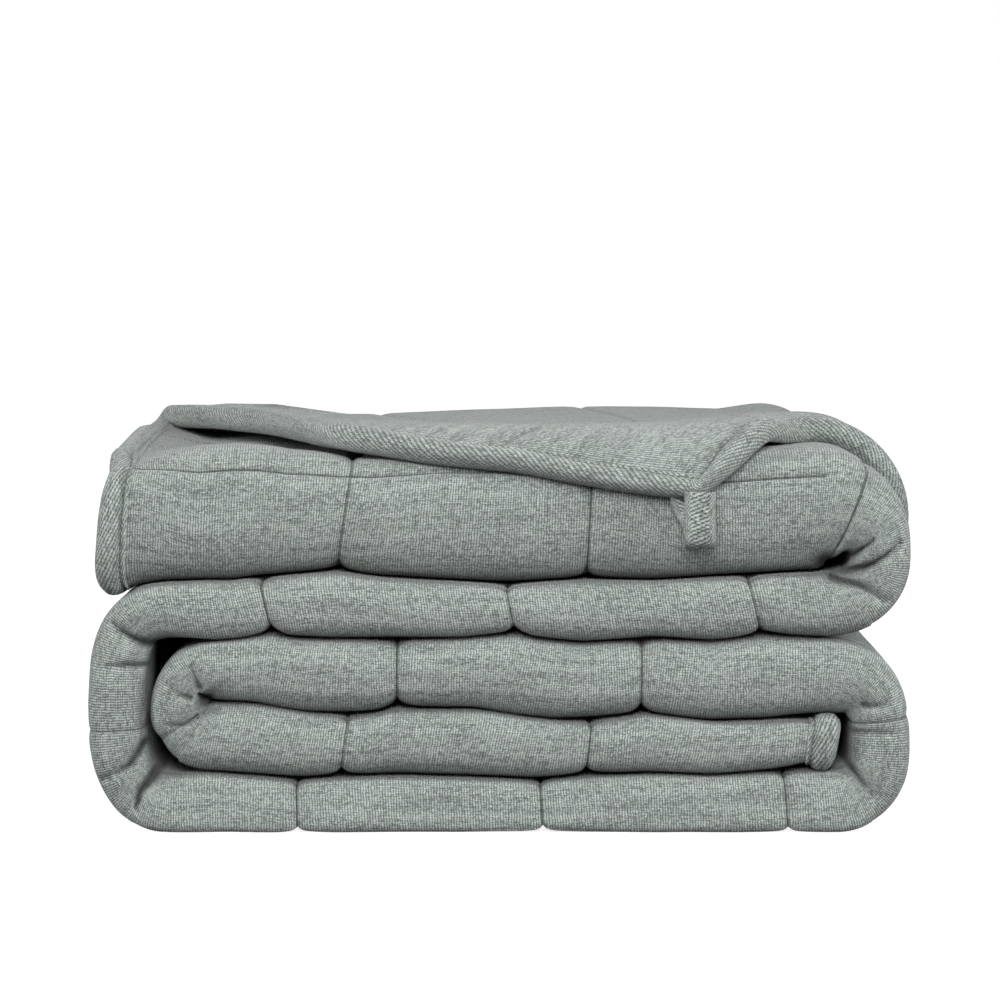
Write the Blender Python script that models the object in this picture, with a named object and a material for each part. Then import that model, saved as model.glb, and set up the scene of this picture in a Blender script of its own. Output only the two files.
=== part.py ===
"""A quilted, weighted blanket with a bound edge and a corner loop, folded in thirds along its length
and then doubled over itself into a stack of five courses.

Metres, +Z up. X runs along the courses, Y from the front of the stack to its back. The blanket
stands on z = 0. Distances called depth are measured back from the front of the stack.
"""

import math
from collections import namedtuple

import bmesh
import bpy
import numpy as np

# The quilting: the cells between its seams, and the edge that the binding wraps.
QUILT_PITCH = 0.1205
SEAM_DRAW = 0.62
BINDING_WIDTH = 0.013
BINDING_WALL = 0.0012
EDGE_ROUNDING = 0.82
SEWN_GAP = 0.0003
TONGUE_HALF = 0.0017
LOOSE_TONGUE_HALF = 0.0024
LOOSE_EASE = 0.0006

# The stack, seen from in front.
STACK_DEPTH = 0.465
FRONT_Y = -0.2268
LEFT_END = -0.1975
TUCKED_END = 0.1655
PRESSED_FLAT = 0.0035

# One row for each course, in the order in which the strip runs through them. Its seam_x is where
# one of the seams across the strip lies; loose is nought for a pressed course.
Course = namedtuple("Course", "name underside top seam_x loose")
COURSES = (
    Course("second", 0.0272, 0.0568, 0.0444, 0.0),
    Course("third", 0.0578, 0.0943, 0.0693, 0.0),
    Course("bottom", 0.0000, 0.0262, 0.0210, 0.0),
    Course("fourth", 0.0953, 0.1232, 0.0054, 0.0),
    Course("top", 0.1242, 0.1852, 0.0439, 1.0),
)
TOP = COURSES[-1]

# One row for each turn between two courses: the side it is on, how far its middle line reaches,
# how far before that it starts, the height of its crease, the strip's half thickness round it and
# how square its corners are.
Bend = namedtuple("Bend", "side reach run crease half squareness steps")
BENDS = (
    Bend(-1, 0.1564, 0.0170, 0.0573, 0.0142, 2.0, 6),
    Bend(+1, 0.1858, 0.0300, 0.0420, 0.0145, 2.5, 6),
    Bend(-1, 0.1889, 0.0320, 0.0612, 0.0126, 2.5, 8),
    Bend(+1, 0.1850, 0.0300, 0.1350, 0.0146, 2.2, 8),
)

# Across the strip: the gaps between its three panels, pressed in the lower courses and loose in
# the top one. The two panels of the front fold fill the whole course until the third one starts.
PRESSED_GAP = 0.0020
PRESSED_NOSE_GAP = 0.0030
LOOSE_NOSE_GAP = 0.0120
LOOSE_PANEL = 0.0225
LOOSE_GAP = 0.0065
HEM_DEPTH = 0.098
SETTLE_FROM = 0.040
SETTLE_OVER = 0.038

# The flap, the third panel of the top course. Its back fold runs askew, so that its end hem
# crosses the stack to the front edge and hangs over it. Reach is measured back from the crest
# of the front fold, and is negative where the hem hangs down in front.
FLAP_THICKNESS = 0.012
FLAP_RISE = 0.0025
FLAP_BACK_Z = 0.1860
FLAP_FALL = 0.14
FLAP_FOLD_LEFT = 0.300
FLAP_LENGTH_BACK, FLAP_LENGTH_FRONT = 0.350, 0.125
FLAP_WIDTH_RIGHT, FLAP_WIDTH_LEFT = 0.370, 0.500
SQUARE_ROWS = 0.075
HemPoint = namedtuple("HemPoint", "x reach")
END_HEM = (
    HemPoint(-0.1960, 0.250),
    HemPoint(-0.1730, 0.205),
    HemPoint(-0.1254, 0.120),
    HemPoint(-0.0980, 0.030),
    HemPoint(-0.0830, -0.010),
    HemPoint(-0.0385, -0.027),
    HemPoint(0.0107, -0.034),
    HemPoint(0.0340, -0.041),
    HemPoint(0.0730, -0.048),
    HemPoint(0.1000, -0.051),
)
SIDE_HEM = (
    HemPoint(0.1550, 0.052),
    HemPoint(0.1500, 0.040),
    HemPoint(0.1440, 0.020),
    HemPoint(0.1384, 0.001),
    HemPoint(0.1286, -0.018),
    HemPoint(0.1190, -0.031),
    HemPoint(0.1090, -0.043),
    HemPoint(0.1000, -0.051),
)

# The loop of tape sewn under the flap's corner: an upright oval, open along X.
LOOP_X = 0.0945
LOOP_WIDTH = 0.0145
LOOP_TAPE = 0.0018
LOOP_EYE = 0.0064
LOOP_DROP = 0.0195
LOOP_HANG = 0.0035
LOOP_SKEW = 0.0030
LOOP_BACK_SET = 0.0013
LOOP_STEPS = 18

HEATHER_GREY_GREEN = (0.27, 0.30, 0.28, 1.0)
BINDING_GREY_GREEN = (0.22, 0.245, 0.23, 1.0)
TAPE_GREY_GREEN = (0.25, 0.275, 0.26, 1.0)

Station = namedtuple("Station", "x z tangent_x tangent_z half draw loose along")
Row = namedtuple("Row", "panel place inset draw")


def smooth(value):
    """Nought to one with flat ends."""
    value = min(1.0, max(0.0, value))
    return value * value * (3 - 2 * value)


def mix(first, last, share):
    return first + (last - first) * share


def clear_scene():
    for obj in list(bpy.data.objects):
        bpy.data.objects.remove(obj, do_unlink=True)


def fabric(name, colour, roughness):
    material = bpy.data.materials.new(name)
    material.use_nodes = True
    shader = material.node_tree.nodes["Principled BSDF"]
    shader.inputs["Base Color"].default_value = colour
    shader.inputs["Roughness"].default_value = roughness
    shader.inputs["Metallic"].default_value = 0.0
    return material


# Stations along the strip ---------------------------------------------------------------------


def middle_of(course):
    return (course.underside + course.top) / 2


def half_of(course):
    return (course.top - course.underside) / 2


def flat_station(course, x, direction, along, draw=0.9):
    return Station(x, middle_of(course), direction, 0.0, half_of(course), draw, course.loose, along)


def straight_stations(course, start, end):
    """Stations at the seams and the cell middles between the two ends of a course."""
    step = QUILT_PITCH / 2
    clear_of_ends = 0.3 * step
    direction = 1 if end > start else -1
    low, high = min(start, end) + clear_of_ends, max(start, end) - clear_of_ends
    first = math.ceil((low - course.seam_x) / step)
    last = math.floor((high - course.seam_x) / step)
    found = []
    for count in range(first, last + 1)[::direction]:
        x = course.seam_x + count * step
        draw = SEAM_DRAW if count % 2 == 0 else 1.0
        found.append(flat_station(course, x, direction, (x - start) / (end - start), draw))
    return found


def bend_point(bend, before, after, angle):
    """A point of the turn's middle line; the angle runs from minus to plus a quarter turn."""
    power = 2 / bend.squareness
    rising = 1 if middle_of(after) > middle_of(before) else -1
    leaving = after if angle > 0 else before
    radius = abs(middle_of(leaving) - bend.crease)
    out = bend.run * abs(math.cos(angle)) ** power
    lift = math.copysign(radius * abs(math.sin(angle)) ** power, angle)
    return bend.side * (bend.reach - bend.run + out), bend.crease + rising * lift


def bend_stations(bend, before, after):
    found = []
    quarter, nudge = math.pi / 2, 0.02
    for step in range(bend.steps + 1):
        share = step / bend.steps
        angle = math.pi * share - quarter
        x, z = bend_point(bend, before, after, angle)
        ahead = bend_point(bend, before, after, min(quarter, angle + nudge))
        behind = bend_point(bend, before, after, max(-quarter, angle - nudge))
        run, rise = ahead[0] - behind[0], ahead[1] - behind[1]
        if step in (0, bend.steps):
            run, rise = (bend.side if step == 0 else -bend.side), 0.0
        length = math.hypot(run, rise)
        beyond = before if angle < 0 else after
        half = mix(bend.half, half_of(beyond), smooth(abs(angle) / quarter))
        loose = mix(before.loose, after.loose, smooth(share))
        found.append(Station(x, z, run / length, rise / length, half, 0.9, loose, 0.0))
    return found


def strip_stations():
    """Every station of the strip, from its tucked end to the end of the top course."""
    sewn = BINDING_WALL + SEWN_GAP
    start = TUCKED_END - BINDING_WIDTH
    found = [flat_station(COURSES[0], TUCKED_END - sewn, -1, 0.0)]
    found.append(flat_station(COURSES[0], start, -1, 0.0))
    for course, bend, following in zip(COURSES, BENDS, COURSES[1:]):
        end = bend.side * (bend.reach - bend.run)
        found += straight_stations(course, start, end)
        found += bend_stations(bend, course, following)
        start = end
    end = LEFT_END + BINDING_WIDTH
    found += straight_stations(TOP, start, end)
    found.append(flat_station(TOP, end, -1, 1.0))
    found.append(flat_station(TOP, LEFT_END + sewn, -1, 2.0))
    return found


# Rows across the strip ------------------------------------------------------------------------


def panel_rows(panel, cells):
    """The seams and the cell middles of one panel."""
    halves = 2 * cells
    return [Row(panel, n / halves, 0.0, 1.0 if n % 2 else SEAM_DRAW) for n in range(1, halves)]


def section_rows():
    """Rows from the hem of the lower panel at the back, round the front fold, back along the
    middle panel, round the back fold and forward to the hem of the upper panel."""
    rows = [Row("lower", 0.0, 0.0, 1.0), Row("lower", 0.03, 0.0, 1.0)]
    rows += panel_rows("lower", 3)
    rows += [Row("nose", n / 5, 0.0, SEAM_DRAW if n == 4 else 1.0) for n in range(6)]
    rows += panel_rows("middle", 3)
    rows += [Row("back", n / 3, 0.0, 1.0) for n in range(4)]
    for place, draw in ((0.16, 1.0), (0.33, SEAM_DRAW), (0.50, 0.95), (0.60, 1.0), (0.70, 0.85), (0.80, 0.8)):
        rows.append(Row("upper", place, 0.0, draw))
    for inset in (0.056, 0.034, BINDING_WIDTH, 0.0):
        rows.append(Row("upper", 1.0, inset, 0.9))
    return rows


def share_of_flap(row, length):
    return row.place - row.inset / length


def panel_heights(station):
    """Heights and thicknesses of the panels across one station, measured from its middle line."""
    half, loose = station.half, station.loose
    pressed = (2 * half - 2 * PRESSED_GAP) / 3
    scale = half / half_of(TOP)
    panel = mix(pressed, LOOSE_PANEL * scale, loose)
    flap_height = (FLAP_BACK_Z - middle_of(TOP)) * scale
    return {
        "nose": half - mix(PRESSED_NOSE_GAP, LOOSE_NOSE_GAP * scale, loose) / 2,
        "panel": panel,
        "middle": mix(0.0, (1.5 * LOOSE_PANEL + LOOSE_GAP) * scale - half, loose),
        "upper": mix(half - pressed / 2, flap_height, loose),
        "flap": mix(pressed, FLAP_THICKNESS * scale, loose),
    }


def fold_depth(station):
    """How far back the back fold reaches; in the top course it comes forward to the left."""
    askew = smooth(station.along) * (1.0 if station.loose == 1.0 else 0.0)
    return mix(STACK_DEPTH, FLAP_FOLD_LEFT, askew)


def hem_depth(station):
    """How far back the side hem of the upper panel lies; it comes forward where the strip is loose."""
    return mix(HEM_DEPTH, half_of(TOP) + SIDE_HEM[0].reach, smooth(station.loose))


def section_point(station, row):
    """Depth, height from the middle line, and half thickness before the seams draw it in."""
    sizes = panel_heights(station)
    nose_half = sizes["nose"] / 2
    nose_radius = station.half - nose_half
    fold_radius = (sizes["upper"] - sizes["middle"]) / 2
    fold_middle = (sizes["upper"] + sizes["middle"]) / 2
    fold_centre = fold_depth(station) - fold_radius - sizes["flap"] / 2
    angle = math.pi * (row.place - 0.5)
    sewn = BINDING_WALL + SEWN_GAP
    if row.panel == "nose":
        depth = station.half - nose_radius * math.cos(angle)
        return depth, nose_radius * math.sin(angle), nose_half
    if row.panel == "back":
        half = mix(sizes["panel"], sizes["flap"], row.place) / 2
        depth = fold_centre + fold_radius * math.cos(angle)
        return depth, fold_middle + fold_radius * math.sin(angle), half
    if row.panel == "upper":
        hem = hem_depth(station) + sewn
        share = share_of_flap(row, fold_centre - hem)
        return mix(fold_centre, hem, share), sizes["upper"], sizes["flap"] / 2
    if row.panel == "lower":
        depth = mix(STACK_DEPTH - sewn, station.half, row.place)
    else:
        depth = mix(station.half, fold_centre, row.place)
    settled = smooth((depth - SETTLE_FROM) / SETTLE_OVER)
    half = mix(nose_half, sizes["panel"] / 2, settled)
    if row.panel == "lower":
        return depth, half - station.half, half
    return depth, mix(nose_radius, sizes["middle"], settled), half


# The flap -------------------------------------------------------------------------------------


def along_hem(points, share):
    """The place at a share of a hem's length, on straight runs between its points."""
    runs = [math.hypot(b.x - a.x, b.reach - a.reach) for a, b in zip(points, points[1:])]
    left = share * sum(runs)
    for run, start, end in zip(runs, points, points[1:]):
        if left <= run or end is points[-1]:
            part = min(1.0, left / run)
            return np.array((mix(start.x, end.x, part), mix(start.reach, end.reach, part)))
        left -= run


def flap_plan(along, across):
    """A place on the flap in x and reach: a patch stretched between its back fold, its side hem,
    its end hem and the turn that it comes from."""
    turn_x = SIDE_HEM[0].x
    crest = half_of(TOP)

    def back(share):
        fold = mix(STACK_DEPTH, FLAP_FOLD_LEFT, smooth(share)) - FLAP_THICKNESS
        return np.array((mix(turn_x, END_HEM[0].x, share), fold - crest))

    def turn(share):
        return np.array((turn_x, mix(back(0.0)[1], SIDE_HEM[0].reach, share)))

    side, end = along_hem(SIDE_HEM, along), along_hem(END_HEM, across)
    sides = mix(back(along), side, across) + mix(turn(across), end, along)
    corners = mix(mix(back(0.0), back(1.0), along), mix(turn(1.0), np.array(END_HEM[-1]), along), across)
    return sides - corners


def flap_point(station, row):
    """The x and reach of one grid point of the flap, keeping the hems' insets in metres. Rows near
    the side hem follow it squarely, and run into the patch away from it."""
    across = share_of_flap(row, mix(FLAP_WIDTH_RIGHT, FLAP_WIDTH_LEFT, min(1.0, station.along)))
    length = mix(FLAP_LENGTH_BACK, FLAP_LENGTH_FRONT, across)
    along = min(1.0, station.along) * (1 - BINDING_WIDTH / length) if station.along <= 1.0 else 1.0
    place = flap_plan(along, across)
    if 0.0 < row.inset < SQUARE_ROWS and along < 1.0:
        run = along_hem(SIDE_HEM, along + 0.02) - along_hem(SIDE_HEM, along - 0.02)
        run /= np.linalg.norm(run)
        square = along_hem(SIDE_HEM, along) + row.inset * np.array((run[1], -run[0]))
        hold = smooth(along / 0.3) * smooth((1 - along) / 0.3)
        place = mix(place, square, hold * (1 - row.inset / SQUARE_ROWS))
    return place


def over_front_fold(reach):
    """Depth and height of the flap's middle, which lies on the front fold and hangs round it,
    and the outward direction there."""
    crest = half_of(TOP)
    radius = half_of(TOP) + FLAP_RISE + FLAP_THICKNESS / 2
    if reach < 0:
        angle = reach / radius
        lean, upward = math.sin(angle), math.cos(angle)
        return crest + radius * lean, middle_of(TOP) + radius * upward, lean, upward
    height = mix(middle_of(TOP) + radius, FLAP_BACK_Z, smooth(reach / FLAP_FALL))
    return crest + reach, height, 0.0, 1.0


# The blanket ----------------------------------------------------------------------------------


class Cloth:
    """The folded blanket as a grid of middle points, normals and half thicknesses: one line of the
    grid for each station along the strip, one column for each row across it."""

    def __init__(self):
        self.stations = strip_stations()
        self.rows = section_rows()
        shape = (len(self.stations), len(self.rows))
        self.middle = np.zeros((*shape, 3))
        self.normal = np.zeros((*shape, 3))
        self.half = np.zeros(shape)
        for line, station in enumerate(self.stations):
            self.lay_station(line, station)
        self.thin_edges()

    def lay_station(self, line, station):
        up = np.array((station.tangent_z, 0.0, -station.tangent_x))
        places = [section_point(station, row) for row in self.rows]
        for column, (row, (depth, height, half)) in enumerate(zip(self.rows, places)):
            before, after = places[max(column - 1, 0)], places[min(column + 1, len(places) - 1)]
            run, rise = after[0] - before[0], after[1] - before[1]
            length = math.hypot(run, rise)
            point = np.array((station.x, FRONT_Y + depth, station.z)) + height * up
            normal = np.array((0.0, -rise / length, 0.0)) + run / length * up
            if station.loose == 1.0 and station.along > 0 and row.panel == "upper":
                x, reach = flap_point(station, row)
                depth, height, lean, upward = over_front_fold(reach)
                point = np.array((x, FRONT_Y + depth, height))
                normal = np.array((0.0, -lean, -upward))
            self.middle[line, column] = point
            self.normal[line, column] = normal
            self.half[line, column] = half * min(station.draw, row.draw)

    def thin_edges(self):
        """The quilt thins to a tongue along its four hems, where the binding wraps it."""
        for line, station in enumerate(self.stations):
            self.half[line, [0, 1, -2, -1]] = mix(TONGUE_HALF, LOOSE_TONGUE_HALF, station.loose)
        self.half[[0, 1], :] = TONGUE_HALF
        self.half[[-2, -1], :] = LOOSE_TONGUE_HALF

    def surface(self, side):
        """The points of one of the blanket's two surfaces, flat where it presses on the floor. The
        lower panel's hem, in the first two columns, lies a little above it."""
        points = self.middle + side * self.normal * self.half[..., None]
        pressed = points[..., 2] < PRESSED_FLAT
        pressed[:, :2] = False
        points[..., 2][pressed] = 0.0
        return points

    def rim(self):
        """Grid places round the blanket's edge, each with the place that lies inside the binding."""
        lines, columns = self.half.shape
        far, wide = lines - 1, columns - 1
        hems = [((0, 0), (1, 1))]
        hems += [((line, 0), (line, 1)) for line in range(1, far)]
        hems += [((far, 0), (far - 1, 1))]
        hems += [((far, column), (far - 1, column)) for column in range(1, wide)]
        hems += [((far, wide), (far - 1, wide - 1))]
        hems += [((line, wide), (line, wide - 1)) for line in range(far - 1, 0, -1)]
        hems += [((0, wide), (1, wide - 1))]
        hems += [((0, column), (1, column)) for column in range(wide - 1, 0, -1)]
        return hems


def mesh_object(name, points, faces, material):
    mesh = bpy.data.meshes.new(name)
    mesh.from_pydata([tuple(point) for point in points], [], faces)
    work = bmesh.new()
    work.from_mesh(mesh)
    bmesh.ops.recalc_face_normals(work, faces=work.faces)
    work.to_mesh(mesh)
    work.free()
    mesh.materials.append(material)
    mesh.shade_smooth()
    mesh.set_sharp_from_angle(angle=math.radians(60))
    obj = bpy.data.objects.new(name, mesh)
    bpy.context.scene.collection.objects.link(obj)
    return obj


def split_quad(quad, crosswise):
    """Two triangles, split from the first corner to the third or, crosswise, the other way."""
    a, b, c, d = quad
    return [[a, b, d], [b, c, d]] if crosswise else [[a, b, c], [a, c, d]]


def grid_faces(lines, columns, start=0, closed=False, crosswise=lambda line, column: False):
    """Triangles over a grid of points whose numbers begin at start; closed joins both its ends."""
    faces = []
    for line in range(lines if closed else lines - 1):
        for column in range(columns if closed else columns - 1):
            after, beside = (line + 1) % lines, (column + 1) % columns
            corners = ((line, column), (after, column), (after, beside), (line, beside))
            quad = [start + i * columns + j for i, j in corners]
            faces += split_quad(quad, crosswise(line, column))
    return faces


def build_blanket(cloth, material):
    lines, columns = cloth.half.shape
    count = lines * columns
    points = np.concatenate([cloth.surface(side).reshape(-1, 3) for side in (1, -1)])
    faces = grid_faces(lines, columns)
    faces += [face[::-1] for face in grid_faces(lines, columns, count)]
    edge = [line * columns for line in range(lines)]
    edge += [(lines - 1) * columns + column for column in range(1, columns)]
    edge += [line * columns + columns - 1 for line in range(lines - 2, -1, -1)]
    edge += list(range(columns - 2, 0, -1))
    for here, there in zip(edge, edge[1:] + edge[:1]):
        faces += split_quad([here, here + count, there + count, there], False)
    return mesh_object("blanket", points, faces, material)


def build_binding(cloth, material):
    """One strip folded over the blanket's edge and mitred at its corners, as a ring of sections.
    Its faces are split the same way as those of the quilt that it lies against."""
    inside_share = 0.94
    sections = []
    rim = cloth.rim()
    for edge, within in rim:
        hem, normal = cloth.middle[edge], cloth.normal[edge]
        ease = LOOSE_EASE * cloth.stations[edge[0]].loose
        tongue = cloth.half[edge] + SEWN_GAP + ease
        thick = tongue + BINDING_WALL
        inward = cloth.middle[within] - hem
        corner = edge[0] != within[0] and edge[1] != within[1]
        out = -inward / np.linalg.norm(inward) * (math.sqrt(2) if corner else 1.0)
        inner = hem + inside_share * inward
        inner_normal = cloth.normal[within]
        pocket = hem + out * SEWN_GAP
        outer = pocket + out * BINDING_WALL
        sections += [
            inner + thick * inner_normal,
            outer + EDGE_ROUNDING * thick * normal,
            outer - EDGE_ROUNDING * thick * normal,
            inner - thick * inner_normal,
            inner - tongue * inner_normal,
            pocket - tongue * normal,
            pocket + tongue * normal,
            inner + tongue * inner_normal,
        ]
    around = len(sections) // len(rim)

    def crosswise(section, corner):
        lengthwise = rim[section][0][0] == rim[(section + 1) % len(rim)][0][0]
        return corner == 5 or (corner in (2, 6)) == lengthwise

    faces = grid_faces(len(rim), around, closed=True, crosswise=crosswise)
    return mesh_object("binding", sections, faces, material)


def build_corner_loop(cloth, material):
    """A tape bent into an upright oval, its back side set a little to the left of its front. It
    hangs from the lower edge of the binding at the flap's corner."""
    half_eye = (LOOP_EYE + LOOP_TAPE) / 2
    half_drop = (LOOP_DROP - LOOP_TAPE) / 2
    corner = cloth.middle[-1, -1]
    centre_y = corner[1] + LOOP_BACK_SET
    centre_z = corner[2] - LOOP_HANG - LOOP_TAPE / 2 - half_drop
    points = []
    for step in range(LOOP_STEPS):
        angle = 2 * math.pi * step / LOOP_STEPS
        back, up = math.sin(angle), math.cos(angle)
        out = np.array((0.0, back / half_eye, up / half_drop))
        out /= np.linalg.norm(out)
        place = np.array((LOOP_X - LOOP_SKEW * back, centre_y + half_eye * back, centre_z + half_drop * up))
        across = np.array((LOOP_WIDTH / 2, 0.0, 0.0))
        for side, layer in ((-1, 1), (1, 1), (1, -1), (-1, -1)):
            points.append(place + side * across + layer * LOOP_TAPE / 2 * out)
    return mesh_object("corner_loop", points, grid_faces(LOOP_STEPS, 4, closed=True), material)


def main():
    clear_scene()
    cloth = Cloth()
    build_blanket(cloth, fabric("heather_knit", HEATHER_GREY_GREEN, 0.9))
    build_binding(cloth, fabric("bias_binding", BINDING_GREY_GREEN, 0.85))
    build_corner_loop(cloth, fabric("loop_tape", TAPE_GREY_GREEN, 0.85))


main()
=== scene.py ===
# %% [markdown]
# # A folded weighted blanket
#
# This lesson dresses a packed model of a quilted blanket: one panel of heather knit, filled and sewn
# into cells, bound along its edge and folded into a stack of five courses. The packed model gives the
# true size and place. Here each sub-part is replaced by a mesh with the sewing, the soft swelling and
# the cloth of the real thing. Lengths are in metres, +Z is up and the front of the stack faces -Y.
# The first cell loads the packed model.

# %% Load the packed model
import math
from collections import namedtuple

import bpy
import numpy as np
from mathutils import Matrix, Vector


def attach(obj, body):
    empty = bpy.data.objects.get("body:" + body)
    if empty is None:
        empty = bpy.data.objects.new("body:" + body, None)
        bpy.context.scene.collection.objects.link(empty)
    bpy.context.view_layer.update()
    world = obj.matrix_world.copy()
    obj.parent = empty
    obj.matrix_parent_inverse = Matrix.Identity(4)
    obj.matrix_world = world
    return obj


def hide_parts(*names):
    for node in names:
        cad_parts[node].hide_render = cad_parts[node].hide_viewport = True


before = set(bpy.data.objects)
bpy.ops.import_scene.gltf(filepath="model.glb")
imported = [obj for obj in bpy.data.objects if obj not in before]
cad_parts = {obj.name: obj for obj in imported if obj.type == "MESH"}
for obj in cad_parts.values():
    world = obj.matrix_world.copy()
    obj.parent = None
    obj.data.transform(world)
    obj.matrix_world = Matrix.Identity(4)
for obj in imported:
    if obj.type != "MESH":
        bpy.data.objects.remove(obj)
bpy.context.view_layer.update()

# %% [markdown]
# ## Camera
#
# The blanket is seen straight from in front and from a little above, through a long lens, so the
# camera stands well back. It is aimed rather than shifted, because a shift would be wrong from any
# other side.

# %% Camera
FRONT_Y = -0.2268
CAMERA_DISTANCE, CAMERA_HEIGHT = 1.80, 0.2954
AIM_HEIGHT = 0.164
SENSOR_WIDTH, LENS = 36.0, 132.8


def aim(thing, target):
    """Turns a camera or a light so that it looks at a point."""
    thing.rotation_euler = (Vector(target) - thing.location).to_track_quat("-Z", "Y").to_euler()


camera_data = bpy.data.cameras.new("camera")
camera_data.lens, camera_data.sensor_width = LENS, SENSOR_WIDTH
camera = bpy.data.objects.new("camera", camera_data)
bpy.context.scene.collection.objects.link(camera)
camera.location = (0.0, FRONT_Y - CAMERA_DISTANCE, CAMERA_HEIGHT)
aim(camera, (0.0, FRONT_Y, AIM_HEIGHT))
bpy.context.scene.camera = camera
print("camera", tuple(round(c, 3) for c in camera.location))

# %% [markdown]
# ## The strip: courses, turns and gaps
#
# The panel is folded in thirds into a strip, and the strip is wound over itself. So the whole shape
# is one grid: a line of it for every place along the strip, a row for every place across. Two
# kinds of table drive it. A gap is the dark line between two courses, as heights along X; a turn is
# the bend that joins one course to the next. The courses then fill what the gaps leave, which keeps
# neighbours from ever cutting through each other.

# %% Gaps between the courses
QUILT_PITCH = 0.1205
STACK_DEPTH = 0.465
LEFT_END, TUCKED_END = -0.1968, 0.1655
TOP_MIDDLE, TOP_HALF = 0.1547, 0.0305
LAYER_GAP = 0.0010

FLOOR_LINE = ((-0.2, 0.0), (0.2, 0.0))
GAP_LINES = {
    "bottom_second": (
        (-0.155, 0.0275), (-0.146, 0.0285), (-0.0976, 0.0251), (-0.0488, 0.0271), (0.0, 0.0256),
        (0.0195, 0.0249), (0.0488, 0.0271), (0.078, 0.0281), (0.107, 0.0271), (0.146, 0.0300),
    ),
    "second_third": (
        (-0.137, 0.0632), (-0.123, 0.0627), (-0.095, 0.0578), (-0.0766, 0.0573), (-0.0644, 0.0573),
        (-0.0512, 0.0605), (-0.041, 0.0598), (-0.013, 0.0598), (0.0102, 0.0559), (0.0293, 0.0539),
        (0.0478, 0.0549), (0.0634, 0.0562), (0.0688, 0.0578), (0.0834, 0.0559), (0.1034, 0.0534),
        (0.1283, 0.0539), (0.1483, 0.0559), (0.160, 0.0568),
    ),
    "third_fourth": (
        (-0.160, 0.0949), (-0.142, 0.0934), (-0.128, 0.0949), (-0.1141, 0.0978), (-0.106, 0.0954),
        (-0.083, 0.0945), (-0.022, 0.0949), (0.0068, 0.0978), (0.0151, 0.0954), (0.0385, 0.0927),
        (0.0634, 0.0944), (0.0737, 0.0954), (0.1044, 0.0932), (0.1302, 0.0968), (0.1483, 0.0954),
        (0.1654, 0.0949),
    ),
    "fourth_top": (
        (-0.1815, 0.1168), (-0.176, 0.1188), (-0.170, 0.1207), (-0.163, 0.1222), (-0.144, 0.1232),
        (-0.1300, 0.1229), (-0.1240, 0.1243), (-0.1160, 0.1250), (-0.1024, 0.1261), (-0.0785, 0.1280),
        (-0.0595, 0.1251), (-0.0361, 0.1237), (0.0039, 0.1217), (0.042, 0.1237), (0.0785, 0.1232),
        (0.1083, 0.1251), (0.1283, 0.1261), (0.1483, 0.1271),
    ),
    "crest": (
        (-0.1975, 0.1750), (-0.190, 0.1792), (-0.1815, 0.1830), (-0.166, 0.1865), (-0.150, 0.1890),
        (-0.131, 0.1902), (-0.116, 0.1888), (-0.1063, 0.1868), (-0.096, 0.1862), (-0.083, 0.1845),
        (-0.067, 0.1830), (-0.045, 0.1825), (0.030, 0.1825), (0.080, 0.1828), (0.110, 0.1848),
        (0.130, 0.1876), (0.155, 0.1890),
    ),
}

print(len(GAP_LINES), "gap lines,", sum(len(line) for line in GAP_LINES.values()), "points")

# %% [markdown]
# ## Courses and turns
#
# A course is one layer of the real stack, three cloths thick. Under and over name the gaps that hold
# it. Its seam_x is where one of the seams across the strip lies, and its lean is how much further
# right a seam is at the top than at the bottom. A turn's crease is the height of its middle; its seam
# is the share of the turn, from where it starts, at which a seam across the strip lies.

# %% Courses and turns
Course = namedtuple("Course", "name under over seam_x lean loose")
COURSES = (
    Course("second", "bottom_second", "second_third", 0.0439, 0.0040, 0.0),
    Course("third", "second_third", "third_fourth", 0.0695, 0.0015, 0.0),
    Course("bottom", "floor", "bottom_second", 0.0208, -0.0012, 0.0),
    Course("fourth", "third_fourth", "fourth_top", 0.0054, -0.0044, 0.0),
    Course("top", "fourth_top", "crest", 0.0441, 0.0035, 1.0),
)

Turn = namedtuple("Turn", "side reach run crease half squareness seam")
TURNS = (
    Turn(-1, 0.1592, 0.0170, 0.0573, 0.0142, 2.1, 0.36),
    Turn(+1, 0.1882, 0.0300, 0.0420, 0.0145, 2.8, 0.42),
    Turn(-1, 0.1894, 0.0320, 0.0612, 0.0142, 3.0, 0.46),
    Turn(+1, 0.1876, 0.0300, 0.1350, 0.0146, 2.3, 0.86),
)


def smooth(value):
    """Nought to one with flat ends."""
    value = np.clip(value, 0.0, 1.0)
    return value * value * (3 - 2 * value)


def mix(first, last, share):
    """From one value to another by share."""
    return first + (last - first) * share


def gap_height(name, x):
    """Height of a gap line at a place along X."""
    points = FLOOR_LINE if name == "floor" else GAP_LINES[name]
    return np.interp(x, [p[0] for p in points], [p[1] for p in points])


def course_at(course, x):
    """The height of a course's middle and its half thickness at a place along X."""
    low = gap_height(course.under, x) + (0.0 if course.under == "floor" else LAYER_GAP / 2)
    high = gap_height(course.over, x) - (0.0 if course.over == "crest" else LAYER_GAP / 2)
    return (low + high) / 2, (high - low) / 2


print("half a course at its middle:", {c.name: round(float(course_at(c, 0.0)[1]), 4) for c in COURSES})

# %% [markdown]
# ## The strip's middle line
#
# The middle line is drawn first as a run of close points: straight along each course, and a quarter
# of a squared circle twice over round each turn. It is smoothed a little, so that no kink is left
# where a course meets a turn, and measured, so that seams can be placed by their distance along it.

# %% Points of a course and of a turn
PATH_STEP = 0.001
PathPoint = namedtuple("PathPoint", "x z half loose lean")


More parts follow.
